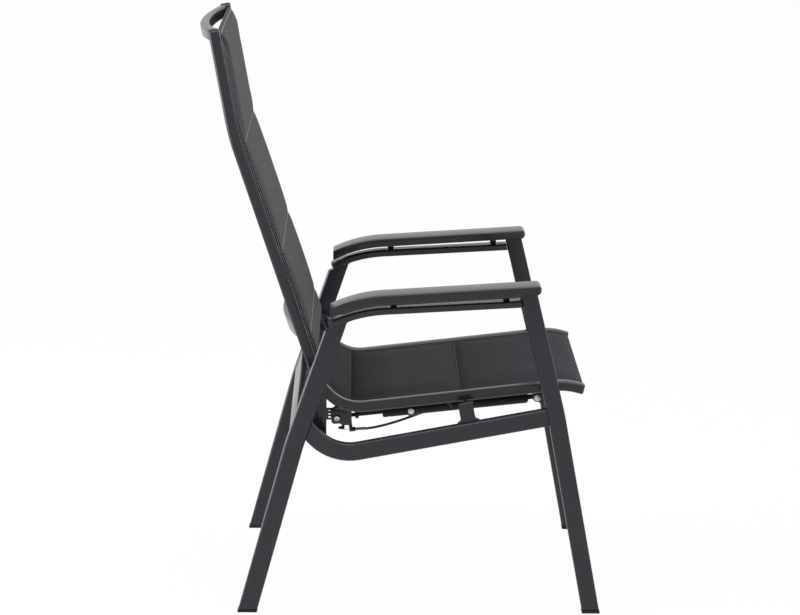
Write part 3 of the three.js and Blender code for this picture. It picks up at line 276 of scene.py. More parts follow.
def soft_lamp(name, place, target, size, watts):
    data = bpy.data.lights.new(name, "AREA")
    data.shape = "SQUARE"
    data.size = size
    data.energy = watts
    lamp = bpy.data.objects.new(name, data)
    bpy.context.collection.objects.link(lamp)
    aim = Vector(target) - Vector(place)
    lamp.location = place
    lamp.rotation_euler = aim.to_track_quat("-Z", "Y").to_euler()


soft_lamp("lamp above", (0.2, -0.3, 3.4), (0, 0, 0.5), size=2.6, watts=44)
soft_lamp("lamp in front", (2.6, -0.8, 2.9), (0, 0, 0.6), size=1.8, watts=18)
soft_lamp("lamp behind", (-3.0, -0.2, 1.9), (0, 0, 0.6), size=2.0, watts=76)
soft_lamp("low lamp behind", (-2.6, 0.1, 0.45), (-0.2, 0, 0.75), size=1.4, watts=22)


# Side frames: rectangular aluminium tubes with soft edges, powder coated in dark grey
# with a fine grain. Legs, arm tube and lower rail are welded together.
powder_coat = grained("dark grey powder coat", (0.0160, 0.0150, 0.0215),
                      (0.0205, 0.0190, 0.0265), roughness=0.24, grain=1400, depth=0.00004,
                      specular=0.4)


def finished(name, mesh, body, slot, material, *replaced):
    """A piece with its finish, on its body, in place of any nodes that it replaces."""
    piece = bpy.data.objects.new(name, mesh)
    bpy.context.collection.objects.link(piece)
    mesh.materials.clear()
    mesh.materials.append(material)
    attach(piece, body)
    if replaced:
        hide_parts(*replaced)
    return piece


def baked(piece, crease=35):
    """The mesh with its modifiers applied and smooth between soft edges."""
    evaluated = piece.evaluated_get(bpy.context.evaluated_depsgraph_get())
    mesh = bpy.data.meshes.new_from_object(evaluated)
    mesh.shade_smooth()
    mesh.set_sharp_from_angle(angle=math.radians(crease))
    return mesh


def merged(node, doubles_within=0.00001, flat_within=0.8):
    """A node's solid as one connected mesh with flat faces whole."""
    form = bmesh.new()
    form.from_mesh(nodes[node].data)
    bmesh.ops.remove_doubles(form, verts=form.verts, dist=doubles_within)
    bmesh.ops.dissolve_limit(form, angle_limit=math.radians(flat_within), verts=form.verts,
                             edges=form.edges)
    return form


def eased(node, edge, rounds, sharper_than=28):
    """A node's solid with its edges rounded."""
    form = merged(node)
    source = bpy.data.meshes.new(node)
    form.to_mesh(source)
    form.free()
    rough = bpy.data.objects.new("rough", source)
    bpy.context.collection.objects.link(rough)
    soften = rough.modifiers.new("soften", "BEVEL")
    soften.width = edge
    soften.segments = rounds
    soften.limit_method = "ANGLE"
    soften.angle_limit = math.radians(sharper_than)
    soften.harden_normals = False
    mesh = baked(rough)
    bpy.data.objects.remove(rough)
    bpy.data.meshes.remove(source)
    return mesh


def body_of(node):
    return next(b for b, members in frame["record"]["behaviour"]["bodies"].items()
                if node in members)


def eased_piece(node, material, slot, edge, rounds=3):
    finished(f"{node}_finished", eased(node, edge, rounds), body_of(node), slot, material, node)


for side in ("left", "right"):
    for tube, tube_edge in (("rear_leg", 0.0022), ("front_leg", 0.0022), ("arm_tube", 0.0014),
                            ("lower_rail", 0.0018)):
        eased_piece(f"{tube}_{side}", powder_coat, "coated_frame", edge=tube_edge, rounds=4)


# Armrests: moulded plastic in the frame's grey, satin on top, with a rounded nose and
# a rib underneath near the outer edge. Each is held to the arm tube by two black
# spacers and two black screws from below.
armrest_grey = grained("armrest plastic", (0.0150, 0.0145, 0.0190), (0.0190, 0.0185, 0.0235),
                       roughness=0.18, grain=900, depth=0.00003, specular=0.36)
moulded_black = grained("black moulded plastic", (0.006, 0.006, 0.007), (0.010, 0.010, 0.011),
                        roughness=0.50, grain=1100, depth=0.00003, specular=0.3)
blackened = grained("blackened steel", (0.004, 0.004, 0.005), (0.008, 0.008, 0.009),
                    roughness=0.50, grain=1600, depth=0.00002, specular=0.2)
for side in ("left", "right"):
    eased_piece(f"armrest_{side}", armrest_grey, "armrest_plastic", edge=0.0016, rounds=4)
    for end in ("rear", "front"):
        eased_piece(f"arm_spacer_{end}_{side}", moulded_black, "black_plastic",
                    edge=0.0006, rounds=2)
        eased_piece(f"arm_screw_{end}_{side}", blackened, "black_steel", edge=0.0006, rounds=2)

rib_y = 0.3010
rib_rear = -0.118
rib_front = 0.232
rib_sections = 48
rib_depth = 0.0050
rib_end_depth = 0.0008
rib_ramp = 0.012
rib_width = 0.0032
rib_edge = 0.0006
rib_root = 0.0004
under_the_arms = 0.5


def skin(form, rings):
    """Faces from ring to ring of corners; a ring of one corner closes to a point."""
    count = max(len(ring) for ring in rings)
    for low, high in zip(rings, rings[1:]):
        for k in range(count):
            after = (k + 1) % count
            corners = (low[k % len(low)], low[after % len(low)],
                       high[after % len(high)], high[k % len(high)])
            form.faces.new(list(dict.fromkeys(corners)))


def smooth_mesh(name, form, crease=35):
    """The mesh of a form: faces outwards, smooth between soft edges."""
    bmesh.ops.recalc_face_normals(form, faces=form.faces)
    mesh = bpy.data.meshes.new(name)
    form.to_mesh(mesh)
    form.free()
    mesh.shade_smooth()
    mesh.set_sharp_from_angle(angle=math.radians(crease))
    return mesh


def armrest_rib(side, y):
    """The rib follows the armrest's underside and runs out at both ends."""
    armrest = merged(f"armrest_{side}")
    underside = BVHTree.FromBMesh(armrest)
    armrest.free()
    rib = bmesh.new()
    sections = []
    for x in np.linspace(rib_rear, rib_front, rib_sections):
        root = underside.ray_cast(Vector((x, y, under_the_arms)), Vector((0, 0, 1)))[0].z
        ramp = min(1, (x - rib_rear) / rib_ramp, (rib_front - x) / rib_ramp)
        reach = rib_end_depth + (rib_depth - rib_end_depth) * ramp
        corner = min(rib_edge, reach / 2)
        side_y, flat_y = rib_width / 2, rib_width / 2 - corner
        sections.append([rib.verts.new((x, y + across, root + lift)) for across, lift in (
            (-side_y, rib_root), (side_y, rib_root), (side_y, corner - reach),
            (flat_y, -reach), (-flat_y, -reach), (-side_y, corner - reach))])
    skin(rib, sections)
    rib.faces.new(sections[0])
    rib.faces.new(sections[-1][::-1])
    finished(f"armrest_rib_{side}", smooth_mesh("armrest_rib", rib, crease=50), "base",
             "armrest_plastic", armrest_grey)


armrest_rib("left", rib_y)
armrest_rib("right", -rib_y)

# Feet: caps of moulded black plastic, pressed into the ends of the legs, with a small
# lip all round that stands on the floor.
for side in ("left", "right"):
    for end in ("rear", "front"):
        eased_piece(f"foot_cap_{end}_{side}", moulded_black, "black_plastic", edge=0.0012)

# Crossbars between the side frames and the lug that holds the gas spring, all of the
# frame's coated aluminium. The lug's bolt is zinc plated, with a hexagon head.
zinc_plate = grained("zinc plating", (0.50, 0.51, 0.53), (0.66, 0.67, 0.69),
                     roughness=0.34, grain=1300, depth=0.00002, metallic=1.0)
for bar in ("rear_crossbar", "front_crossbar", "spring_lug"):
    eased_piece(bar, powder_coat, "coated_frame", edge=0.0010)
eased_piece("spring_bolt", zinc_plate, "zinc_steel", edge=0.0006, rounds=2)

# The back's frame: two bent rails, a bowed bar at the top and one behind the
# sitter's waist, and the plates and lower bar that reach down to the gas spring.
for part in ("top_bar", "lumbar_bar", "arm_plate_left", "arm_plate_right", "back_lower_bar"):
    eased_piece(part, powder_coat, "coated_frame", edge=0.0010)
back_rail_edge = 0.0026
for side in ("left", "right"):
    eased_piece(f"back_rail_{side}", powder_coat, "coated_frame", edge=back_rail_edge, rounds=5)
    eased_piece(f"back_pivot_{side}", blackened, "black_steel", edge=0.0008, rounds=2)

# The seat's frame: two rails that curl up at the back, and flat bars under the sling.
# It hangs on two bolts at the back and slides on a stud and a bush at each bracket.
for part in ("seat_crossbar_front", "seat_crossbar_rear"):
    eased_piece(part, powder_coat, "coated_frame", edge=0.0010)
for side in ("left", "right"):
    eased_piece(f"seat_rail_{side}", powder_coat, "coated_frame", edge=0.0018, rounds=4)
    eased_piece(f"seat_hinge_bolt_{side}", zinc_plate, "zinc_steel", edge=0.0007, rounds=2)
    eased_piece(f"guide_stud_{side}", zinc_plate, "zinc_steel", edge=0.0007, rounds=2)
    eased_piece(f"guide_bush_{side}", moulded_black, "black_plastic", edge=0.0004, rounds=2)

# End plugs: slightly domed black plastic, pressed into the open ends of the seat
# rails at the front, the back rails at the top and the arm tubes at the back.
plug_rim = 0.0018
plug_proud = 0.0014
plug_depth = 0.003


def end_plug(name, node, way, rim=plug_rim):
    """A plug inside the rim of a tube, at the end that looks the given way."""
    tube = merged(node)
    way = Vector(way).normalized()
    facing = [f for f in tube.faces if f.normal.dot(way) > 0.9]
    end = max(facing, key=lambda f: f.calc_center_median().dot(way) + f.calc_area())
    outline = [v.co.copy() for v in end.verts]
    out = end.normal.copy()
    middle = end.calc_center_median()
    tube.free()
    across = min((v - middle).length for v in outline)
    plug = bmesh.new()
    rings = []
    for inset, lift in ((rim, -plug_depth), (rim, plug_proud * 0.5),
                        (rim * 1.5, plug_proud * 0.85), (rim * 2.6, plug_proud)):
        share = 1 - inset / across
        rings.append([plug.verts.new(middle + (v - middle) * share + out * lift)
                      for v in outline])
    skin(plug, rings)
    plug.faces.new(rings[-1])
    plug.faces.new(rings[0][::-1])
    finished(name, smooth_mesh(name, plug), body_of(node), "black_plastic", moulded_black)


for side in ("left", "right"):
    end_plug(f"seat_rail_plug_{side}", f"seat_rail_{side}", (0.97, 0, -0.25))
    end_plug(f"back_rail_plug_{side}", f"back_rail_{side}", (-0.18, 0, 0.98),
             rim=back_rail_edge)
    end_plug(f"arm_tube_plug_{side}", f"arm_tube_{side}", (-0.91, 0, -0.41))


# Weld beads: where a tube meets another, a rippled bead runs round its end, under the
# powder coat. Each ripple is a small flattened drop, laid along the tube's outline.
def set_inputs(modifier, tree, **values):
    for item in tree.interface.items_tree:
        if item.in_out == "INPUT" and item.name in values:
            modifier[item.identifier] = values[item.name]


def beads_tree():
    """Geometry nodes that lay small drops along the edges of a mesh."""
    tree = bpy.data.node_groups.new("drops along lines", "GeometryNodeTree")
    tree.interface.new_socket("Lines", in_out="INPUT", socket_type="NodeSocketGeometry")
    for name in ("Pitch", "Width", "Length"):
        tree.interface.new_socket(name, in_out="INPUT", socket_type="NodeSocketFloat")
    tree.interface.new_socket("Finish", in_out="INPUT", socket_type="NodeSocketMaterial")
    tree.interface.new_socket("Drops", in_out="OUTPUT", socket_type="NodeSocketGeometry")
    add = tree.nodes.new
    inlet, outlet = add("NodeGroupInput"), add("NodeGroupOutput")
    to_curve = add("GeometryNodeMeshToCurve")
    to_points = add("GeometryNodeCurveToPoints")
    to_points.mode = "LENGTH"
    drop = add("GeometryNodeMeshUVSphere")
    drop.inputs["Segments"].default_value = 8
    drop.inputs["Rings"].default_value = 5
    drop.inputs["Radius"].default_value = 0.5
    size = add("ShaderNodeCombineXYZ")
    lay = add("GeometryNodeInstanceOnPoints")
    real = add("GeometryNodeRealizeInstances")
    smooth = add("GeometryNodeSetShadeSmooth")
    finish = add("GeometryNodeSetMaterial")
    link_nodes(tree, (inlet.outputs["Lines"], to_curve.inputs["Mesh"]),
               (to_curve.outputs["Curve"], to_points.inputs["Curve"]),
               (inlet.outputs["Pitch"], to_points.inputs["Length"]),
               (to_points.outputs["Points"], lay.inputs["Points"]),
               (to_points.outputs["Rotation"], lay.inputs["Rotation"]),
               (drop.outputs["Mesh"], lay.inputs["Instance"]),
               (inlet.outputs["Width"], size.inputs["X"]),
               (inlet.outputs["Width"], size.inputs["Y"]),
               (inlet.outputs["Length"], size.inputs["Z"]),
               (size.outputs[0], lay.inputs["Scale"]),
               (lay.outputs["Instances"], real.inputs[0]),
               (real.outputs[0], smooth.inputs[0]),
               (smooth.outputs[0], finish.inputs["Geometry"]),
               (inlet.outputs["Finish"], finish.inputs["Material"]),
               (finish.outputs[0], outlet.inputs["Drops"]))
    return tree


drops = beads_tree()


def drops_along(name, places, edges, pitch, width, length, body, slot, material):
    """A row of drops along each run of edges, as one plain mesh."""
    lines = bpy.data.meshes.new(name)
    lines.from_pydata([tuple(float(c) for c in p) for p in places], edges, [])
    piece = bpy.data.objects.new("lines", lines)
    bpy.context.collection.objects.link(piece)
    laid = piece.modifiers.new("drops", "NODES")
    laid.node_group = drops
    set_inputs(laid, drops, Pitch=pitch, Width=width, Length=length, Finish=material)
    evaluated = piece.evaluated_get(bpy.context.evaluated_depsgraph_get())
    mesh = bpy.data.meshes.new_from_object(evaluated)
    bpy.data.objects.remove(piece)
    bpy.data.meshes.remove(lines)
    finished(name, mesh, body, slot, material)


def joint_outline(node, other, reach):
    """The outline of a tube's end where it stands against another piece."""
    form = merged(node)
    target = merged(other)
    surface = BVHTree.FromBMesh(target)
    near = {v for v in form.verts if surface.find_nearest(v.co, reach)[0] is not None}
    against = {f for f in form.faces if all(v in near for v in f.verts)}
    rim = [e for e in form.edges if sum(f in against for f in e.link_faces) == 1]
    runs = [[tuple(v.co) for v in e.verts] for e in rim]
    target.free()
    form.free()
    return runs


bead_pitch = 0.0016
bead_width = 0.0044
bead_length = 0.0030
bowed_bar_reach = 0.0031


def weld_beads(name, body, joints, reach=0.0007):
    """Beads round the end of each joint's first piece, where it meets the second."""
    places, edges = [], []
    for node, other in joints:
        index = {}
        for run in joint_outline(node, other, reach):
            ends = []
            for place in run:
                if place not in index:
                    index[place] = len(places)
                    places.append(place)
                ends.append(index[place])
            edges.append(tuple(ends))
    drops_along(name, places, edges, bead_pitch, bead_width, bead_length, body,
                "coated_frame", powder_coat)


for side in ("left", "right"):
    weld_beads(f"frame_welds_{side}", "base", [
        (f"{tube}_{side}", f"{other}_{side}") for tube, other in (
            ("lower_rail", "rear_leg"), ("lower_rail", "front_leg"),
            ("arm_tube", "front_leg"), ("rear_leg", "arm_tube"))])
weld_beads("crossbar_welds", "base", [
    (f"{end}_crossbar", f"{end}_leg_{side}") for end in ("rear", "front")
    for side in ("left", "right")])
weld_beads("back_welds", "back", [
    (bar, f"back_rail_{side}") for bar in ("top_bar", "lumbar_bar")
    for side in ("left", "right")], reach=bowed_bar_reach)
weld_beads("seat_welds", "seat", [
    (bar, f"seat_rail_{side}") for bar in ("seat_crossbar_front", "seat_crossbar_rear")
    for side in ("left", "right")])


# The gas spring: a black steel cylinder, crimped over the guide of a blackened rod,
# with an eye on the front lug. A clamp with a zinc-plated bolt sits round it.
def turned(name, profile, start, toward, body, slot, material, replaced=(), sides=40):
    """A turned part: (distance, radius) pairs along the line from start to toward."""
    start = Vector(start)
    axis = (Vector(toward) - start).normalized()
    across = axis.orthogonal().normalized()
    beside = axis.cross(across)
    form = bmesh.new()
    rings = []
    for distance, radius in profile:
        centre = start + axis * distance
        if radius == 0:
            rings.append([form.verts.new(centre)])
            continue
        rings.append([
            form.verts.new(centre + radius * (across * math.cos(t) + beside * math.sin(t)))
            for t in (2 * math.pi * k / sides for k in range(sides))])
    skin(form, rings)
    bmesh.ops.remove_doubles(form, verts=form.verts, dist=0.000001)
    finished(name, smooth_mesh(name, form), body, slot, material, *replaced)


bolt_at = Vector((0.277919, 0, 0.3567))
pin_at = Vector((-0.120866, 0, 0.3131))
mouth = 0.31066
neck = 0.01866
barrel = 0.0115
turned("gas_cylinder_tube", [
    (0.0072, 0), (0.0072, 0.0050), (neck + 0.0002, 0.0050), (neck + 0.0002, 0.0070),
    (neck + 0.0008, 0.0088), (neck + 0.0026, 0.0106), (neck + 0.0052, barrel),
    (mouth - 0.0150, barrel), (mouth - 0.0142, 0.0108), (mouth - 0.0126, 0.0108),
    (mouth - 0.0118, barrel), (mouth - 0.0040, barrel), (mouth - 0.0016, 0.0109),
    (mouth - 0.0003, 0.0093), (mouth, 0.0074), (mouth - 0.0006, 0.0066),
    (mouth - 0.0006, 0.0043), (mouth - 0.0100, 0.0043), (mouth - 0.0100, 0.0095),
    (neck + 0.0120, 0.0095), (neck + 0.0120, 0),
], bolt_at, pin_at, "cylinder", "black_steel", blackened, replaced=("gas_cylinder",))
turned("gas_cylinder_eye", [
    (-0.0060, 0.0044), (-0.0060, 0.0084), (-0.0054, 0.0090), (0.0054, 0.0090),
    (0.0060, 0.0084), (0.0060, 0.0044), (-0.0060, 0.0044),
], bolt_at, bolt_at + Vector((0, 1, 0)), "cylinder", "black_steel", blackened)
for part in ("spring_clamp", "rod_lock_nut"):
    eased_piece(part, blackened, "black_steel", edge=0.0005, rounds=2)
eased_piece("clamp_bolt", zinc_plate, "zinc_steel", edge=0.0009, rounds=2)
eased_piece("piston_rod", blackened, "black_steel", edge=0.0004, rounds=2)

# The release head: a black block between the ears, on a ring-headed zinc pin, with the
# lever that the cable's bare wire pulls, and the barrel that holds the sheath's end.
eased_piece("release_head", moulded_black, "black_plastic", edge=0.0007, rounds=2)
eased_piece("head_pin", zinc_plate, "zinc_steel", edge=0.0006, rounds=2)
eased_piece("release_lever", blackened, "black_steel", edge=0.0004, rounds=2)
eased_piece("cable_stop", moulded_black, "black_plastic", edge=0.0007, rounds=2)
pin_ring_y = 0.0186
for side, out in (("left", 1), ("right", -1)):
    ring_y = out * pin_ring_y
    turned(f"head_pin_ring_{side}", [
        (0, 0.0022), (0, 0.0046), (0.0004, 0.0051), (0.0012, 0.0051), (0.0016, 0.0046),
        (0.0014, 0.0034), (0.0006, 0.0022), (0, 0.0022),
    ], (pin_at.x, ring_y, pin_at.z), (pin_at.x, ring_y + out, pin_at.z), "piston",
        "zinc_steel", zinc_plate, sides=24)

# The cable's end: a dulled brass ferrule on the sheath, in the barrel's mouth, and the
# bare steel wire that runs on from it to the release lever.
brass = grained("dulled brass", (0.22, 0.15, 0.08), (0.32, 0.23, 0.13),
                roughness=0.38, grain=1200, depth=0.00002, metallic=0.9)
turned("cable_ferrule", [
    (0, 0), (0, 0.0024), (0.0004, 0.0029), (0.0180, 0.0029), (0.0196, 0.0026),
    (0.0204, 0.0031), (0.0222, 0.0031), (0.0228, 0.0026), (0.0228, 0),
], (-0.0853, 0, 0.28731), (-0.0615, 0.0019, 0.28830), "piston", "zinc_steel", brass, sides=24)
turned("bare_wire", [(0, 0), (0, 0.0006), (0.0210, 0.0006), (0.0210, 0)],
       (-0.1135, 0, 0.28680), (-0.0925, 0, 0.28660), "piston", "zinc_steel", zinc_plate,
       sides=10)

# The hand lever that releases the back: moulded black plastic, in a housing of the
# same that is fixed to the inner side of the right arm tube.
eased_piece("lever_housing", moulded_black, "black_plastic", edge=0.0009)
eased_piece("hand_lever", moulded_black, "black_plastic", edge=0.0012)


# The back sling: two layers of coated woven mesh with padding between them, in four
# sections between the top bar and the hinge. It is sewn through across the chair and
# along both hems, and drawn tight between the rails.
def rounded_line(corners, radii, step=0.004, turn_points=24):
    """Even points along a line with rounded corners, and the normals on its left."""
    points = [np.array(corners[0])]
    for before, corner, after, radius in zip(corners, corners[1:], corners[2:], radii):
        corner = np.array(corner)
        behind = (before - corner) / np.linalg.norm(before - corner)
        onward = (after - corner) / np.linalg.norm(after - corner)
        half_turn = (math.pi - math.acos(behind @ onward)) / 2
        middle = (behind + onward) / np.linalg.norm(behind + onward)
        centre = corner + middle * radius / math.cos(half_turn)
        first = corner + behind * radius * math.tan(half_turn) - centre
        last = corner + onward * radius * math.tan(half_turn) - centre
        for share in np.linspace(0, 1, turn_points):
            way = (first * math.sin((1 - share) * 2 * half_turn)
                   + last * math.sin(share * 2 * half_turn))
            points.append(centre + way / math.sin(2 * half_turn))
    points.append(np.array(corners[-1]))
    points = np.array(points)
    reach = np.concatenate([[0], np.cumsum(np.linalg.norm(np.diff(points, axis=0), axis=1))])
    even = np.linspace(0, reach[-1], int(reach[-1] / step) + 1)
    points = np.stack([np.interp(even, reach, points[:, k]) for k in (0, 1)], axis=1)
    ahead_of = np.gradient(points, axis=0)
    ahead_of /= np.linalg.norm(ahead_of, axis=1)[:, None]
    return even, points, np.stack([-ahead_of[:, 1], ahead_of[:, 0]], axis=1)


def on_line(line, along, across, lift):
    """Places at distances along a line, across the chair and off the line."""
    reach, points, normals = line
    x = np.interp(along, reach, points[:, 0]) + lift * np.interp(along, reach, normals[:, 0])
    z = np.interp(along, reach, points[:, 1]) + lift * np.interp(along, reach, normals[:, 1])
    return np.stack([x, across, z], axis=-1)


def smooth_step(t):
    t = np.clip(t, 0, 1)
    return t * t * (3 - 2 * t)


def spaced(marks, step, least=2):
    """Even values between the marks, with each mark among them."""
    runs = [np.linspace(a, b, max(least, round((b - a) / step)), endpoint=False)
            for a, b in zip(marks, marks[1:])]
    return np.concatenate(runs + [[marks[-1]]])


hem_thickness = 0.003
grid_step = 0.006
seam_width = 0.001
held_below = 0.2


def padding(along, across, seams, half, hem, rise, seam_reach, seam_depth):
    """How full the padding is: 0 on the hems and ends, 1 well away from them."""
    full = np.sqrt(smooth_step((half - hem - np.abs(across)) / rise))
    for seam in seams:
        depth = 1.0 if seam in (seams[0], seams[-1]) else seam_depth
        pinch = 1 - np.sqrt(smooth_step(np.abs(along - seam) / seam_reach))
        full = full * (1 - depth * pinch)
    return full


def sling_mesh(name, line, seams, half, offset, over, under, hem, rise, seam_reach,
               seam_depth):
    """A closed two-layer sheet, and which of its corners are held.

    The first and last seams are its ends. It lies off the line by offset, and its
    padding stands over and under it.
    """
    along = spaced(seams, grid_step)
    across = spaced([-half, hem - half, hem + rise - half, half - hem - rise, half - hem,
                     half], grid_step, least=4)
    u, v = np.meshgrid(along, across, indexing="ij")
    full = padding(u, v, seams, half, hem, rise, seam_reach, seam_depth)
    layers = [on_line(line, u, v, offset + face * (hem_thickness / 2 + crown * full))
              for face, crown in ((1, over), (-1, under))]
    rows, columns = u.shape
    count = rows * columns
    places = np.concatenate([layer.reshape(-1, 3) for layer in layers])
    number = np.arange(count).reshape(rows, columns)
    a, b = number[:-1, :-1].ravel(), number[1:, :-1].ravel()
    c, d = number[1:, 1:].ravel(), number[:-1, 1:].ravel()
    faces = [np.stack([a, b, c, d], 1), np.stack([a, d, c, b], 1) + count]
    rim = np.concatenate([number[0, :], number[1:, -1], number[-1, -2::-1],
                          number[-2:0:-1, 0]])
    after = np.roll(rim, -1)
    faces.append(np.stack([rim, after, after + count, rim + count], 1))
    mesh = bpy.data.meshes.new(name)
    mesh.from_pydata(places.tolist(), [], np.concatenate(faces).tolist())
    weave = mesh.uv_layers.new(name="weave")
    spread = np.concatenate([np.stack([u.ravel(), v.ravel()], 1)] * 2)
    loops = np.empty(len(mesh.loops), dtype=np.int32)
    mesh.loops.foreach_get("vertex_index", loops)
    weave.data.foreach_set("uv", spread[loops].ravel())
    on_seam = np.min([np.abs(u - seam) for seam in seams], axis=0) < seam_width
    held = np.concatenate([((full < held_below) | on_seam).ravel()] * 2)
    return mesh, held


def swollen(mesh, held, most, last_frame=20):
    """The mesh after its padding has pushed out, held on hems and seams."""
    pad = bpy.data.objects.new("pad", mesh)
    bpy.context.collection.objects.link(pad)
    pins = pad.vertex_groups.new(name="pins")
    pins.add(np.nonzero(held)[0].tolist(), 1.0, "REPLACE")
    cloth = pad.modifiers.new("cloth", "CLOTH")
    cloth.settings.quality = 4
    cloth.settings.mass = 0.25
    cloth.settings.tension_stiffness = 30
    cloth.settings.compression_stiffness = 20
    cloth.settings.bending_stiffness = 2
    cloth.settings.use_pressure = True
    cloth.settings.uniform_pressure_force = 4
    cloth.settings.vertex_group_mass = "pins"
    cloth.settings.effector_weights.gravity = 0
    cloth.collision_settings.use_collision = False
    cloth.collision_settings.use_self_collision = False
    scene = bpy.context.scene
    for frame_number in range(1, last_frame + 1):
        scene.frame_set(frame_number)
    moved = pad.evaluated_get(bpy.context.evaluated_depsgraph_get()).data
    before = np.empty(len(mesh.vertices) * 3)
    after = np.empty(len(mesh.vertices) * 3)
    mesh.vertices.foreach_get("co", before)
    moved.vertices.foreach_get("co", after)
    step = (after - before).reshape(-1, 3)
    far = np.linalg.norm(step, axis=1)
    step *= np.where(far > most, most / np.maximum(far, 1e-9), 1.0)[:, None]
    mesh.vertices.foreach_set("co", before + step.ravel())
    mesh.update()
    bpy.data.objects.remove(pad)
    scene.frame_set(1)
    return mesh


def subdivided(mesh):
    rough = bpy.data.objects.new("rough", mesh)
    bpy.context.collection.objects.link(rough)
    finer = rough.modifiers.new("finer", "SUBSURF")
    finer.levels = finer.render_levels = 1
    result = baked(rough, crease=60)
    bpy.data.objects.remove(rough)
    return result


scale_times_pitch = 0.314
strands_along = 0.0011
strands_across = 0.0016


def bands(tree, coords, way, pitch, distortion, detail=2):
    """Soft bands, a pitch apart: a wave texture of scale 0.314 has them 1 m apart."""
    wave = tree.nodes.new("ShaderNodeTexWave")
    wave.wave_type = "BANDS"
    wave.bands_direction = way
    wave.wave_profile = "SIN"
    wave.inputs["Scale"].default_value = scale_times_pitch / pitch
    wave.inputs["Distortion"].default_value = distortion
    wave.inputs["Detail"].default_value = detail
    tree.links.new(coords, wave.inputs["Vector"])
    return wave.outputs["Fac"]


def woven(name, dark, light, painted_light_along, hem_shade_at, hem_shade_tone, specular=0.15, sheen=0.08,
          row_pitch=0.007):
    """Coated mesh fabric with painted light and shade: a painted tone by distance along, and
    painted shade in a band at its folded edge.
    """
    material = bpy.data.materials.new(name)
    material.use_nodes = True
    tree = material.node_tree
    shader = tree.nodes["Principled BSDF"]
    weave_map = tree.nodes.new("ShaderNodeUVMap")
    weave_map.uv_map = "weave"
    uv = weave_map.outputs["UV"]
    place = tree.nodes.new("ShaderNodeSeparateXYZ")
    tree.links.new(uv, place.inputs[0])
    weave = calculated(tree, "MULTIPLY", bands(tree, uv, "Y", strands_across, 0.6),
                       bands(tree, uv, "X", strands_along, 0.6))
    cloud = calculated(tree, "MULTIPLY", noise(tree, uv, 35, detail=6), 0.5)
    colour = two_toned(tree, calculated(tree, "MULTIPLY_ADD", weave, 0.5, cloud), dark, light)
    rows = ranged(tree, bands(tree, uv, "X", row_pitch, 1.5, detail=1), 0.86, 1.12)
    whole_length = painted_light_along[-1][0]
    # Painted light and shade: a ramp of tones along the sling, darker at the seams and lighter
    # or darker in the stretches between them.
    crease = tree.nodes.new("ShaderNodeValToRGB")
    while len(crease.color_ramp.elements) < len(painted_light_along):
        crease.color_ramp.elements.new(1.0)
    for stop, (reach, tone) in zip(crease.color_ramp.elements, painted_light_along):
        stop.position = reach / whole_length
        stop.color = (tone, tone, tone, 1)
    tree.links.new(calculated(tree, "DIVIDE", place.outputs["X"], whole_length),
                   crease.inputs["Fac"])
    # Painted shade: the colour is darker in a band along each hem, at the folded edge.
    painted_hem_shade = ranged(tree, calculated(tree, "ABSOLUTE", place.outputs["Y"]), 1.0, hem_shade_tone,
                    start=hem_shade_at[0], stop=hem_shade_at[1], smooth=True)
    painted_light_tone = calculated(tree, "MULTIPLY", crease.outputs["Color"], painted_hem_shade)
    shade = tree.nodes.new("ShaderNodeVectorMath")
    shade.operation = "SCALE"
    shader.inputs["Roughness"].default_value = 0.72
    shader.inputs["Specular IOR Level"].default_value = specular
    shader.inputs["Sheen Weight"].default_value = sheen
    shader.inputs["Sheen Roughness"].default_value = 0.5
    link_nodes(tree, (colour, shade.inputs[0]),
               (calculated(tree, "MULTIPLY", rows, painted_light_tone), shade.inputs["Scale"]),
               (shade.outputs[0], shader.inputs["Base Color"]),
               (bumped(tree, weave, 0.7, 0.0003), shader.inputs["Normal"]))
    return material


def thread(name, dark, light):
    return grained(name, dark, light, roughness=0.6, grain=2600, depth=0.00004, specular=0.2)


stitch_pitch = 0.0050
stitch_width = 0.0015
stitch_length = 0.0036
stitch_search = 0.04
row_step = 0.004
row_start = 0.006
row_stop = 0.005


def stitched(name, pad, line, body, slot, lengthwise, crosswise, reach_end, half, material):
    """Rows of stitches sunk into both faces of a sling's final surface."""
    mesh = pad.data
    surface = BVHTree.FromPolygons([tuple(v.co) for v in mesh.vertices],
                                   [tuple(p.vertices) for p in mesh.polygons])
    along = np.arange(row_start, reach_end - row_stop, row_step)
    rows = [(along, np.full_like(along, across)) for across in lengthwise]
    for seam, inset in crosswise:
        across = np.arange(inset - half, half - inset, row_step)
        rows.append((np.full_like(across, seam), across))
    places, edges = [], []
    for along, across in rows:
        for face in (1, -1):
            outside = on_line(line, along, across, face * stitch_search)
            inside = on_line(line, along, across, 0)
            last = None
            for start, end in zip(outside, inside):
                start, end = Vector(start), Vector(end)
                hit = surface.ray_cast(start, (end - start).normalized(), 2 * stitch_search)[0]
                if hit is None:
                    last = None
                    continue
                places.append(hit)
                if last is not None:
                    edges.append((last, len(places) - 1))
                last = len(places) - 1
    drops_along(name, places, edges, stitch_pitch, stitch_width, stitch_length, body, slot,
                material)


pivot = np.array([-0.158566, 0.451])
back_tilt = math.radians(18.7)
head_tilt = math.radians(10.3)
head_bend_height = 0.915
head_bend_radius = 0.5
back_top = 1.110
rail_overlap = 0.012
back_seam_heights = (0.527, 0.687, 0.893)
up_the_back = np.array([-math.sin(back_tilt), math.cos(back_tilt)])
up_the_head = np.array([-math.sin(head_tilt), math.cos(head_tilt)])
head_bend = pivot + up_the_back * (head_bend_height - pivot[1]) / math.cos(back_tilt)
back_line = rounded_line([pivot - up_the_back * rail_overlap, head_bend,
                          head_bend + up_the_head * (back_top - head_bend_height)
                          / math.cos(head_tilt)], [head_bend_radius])
back_seams = [0.038] + [rail_overlap + (z - pivot[1]) / math.cos(back_tilt)
                        for z in back_seam_heights] + [back_line[0][-1] - 0.005]
back_half = 0.2177
back_hem = 0.004
back_rise = 0.012
back_hem_rows = (0.0076, 0.0118)
back_end_row = 0.006
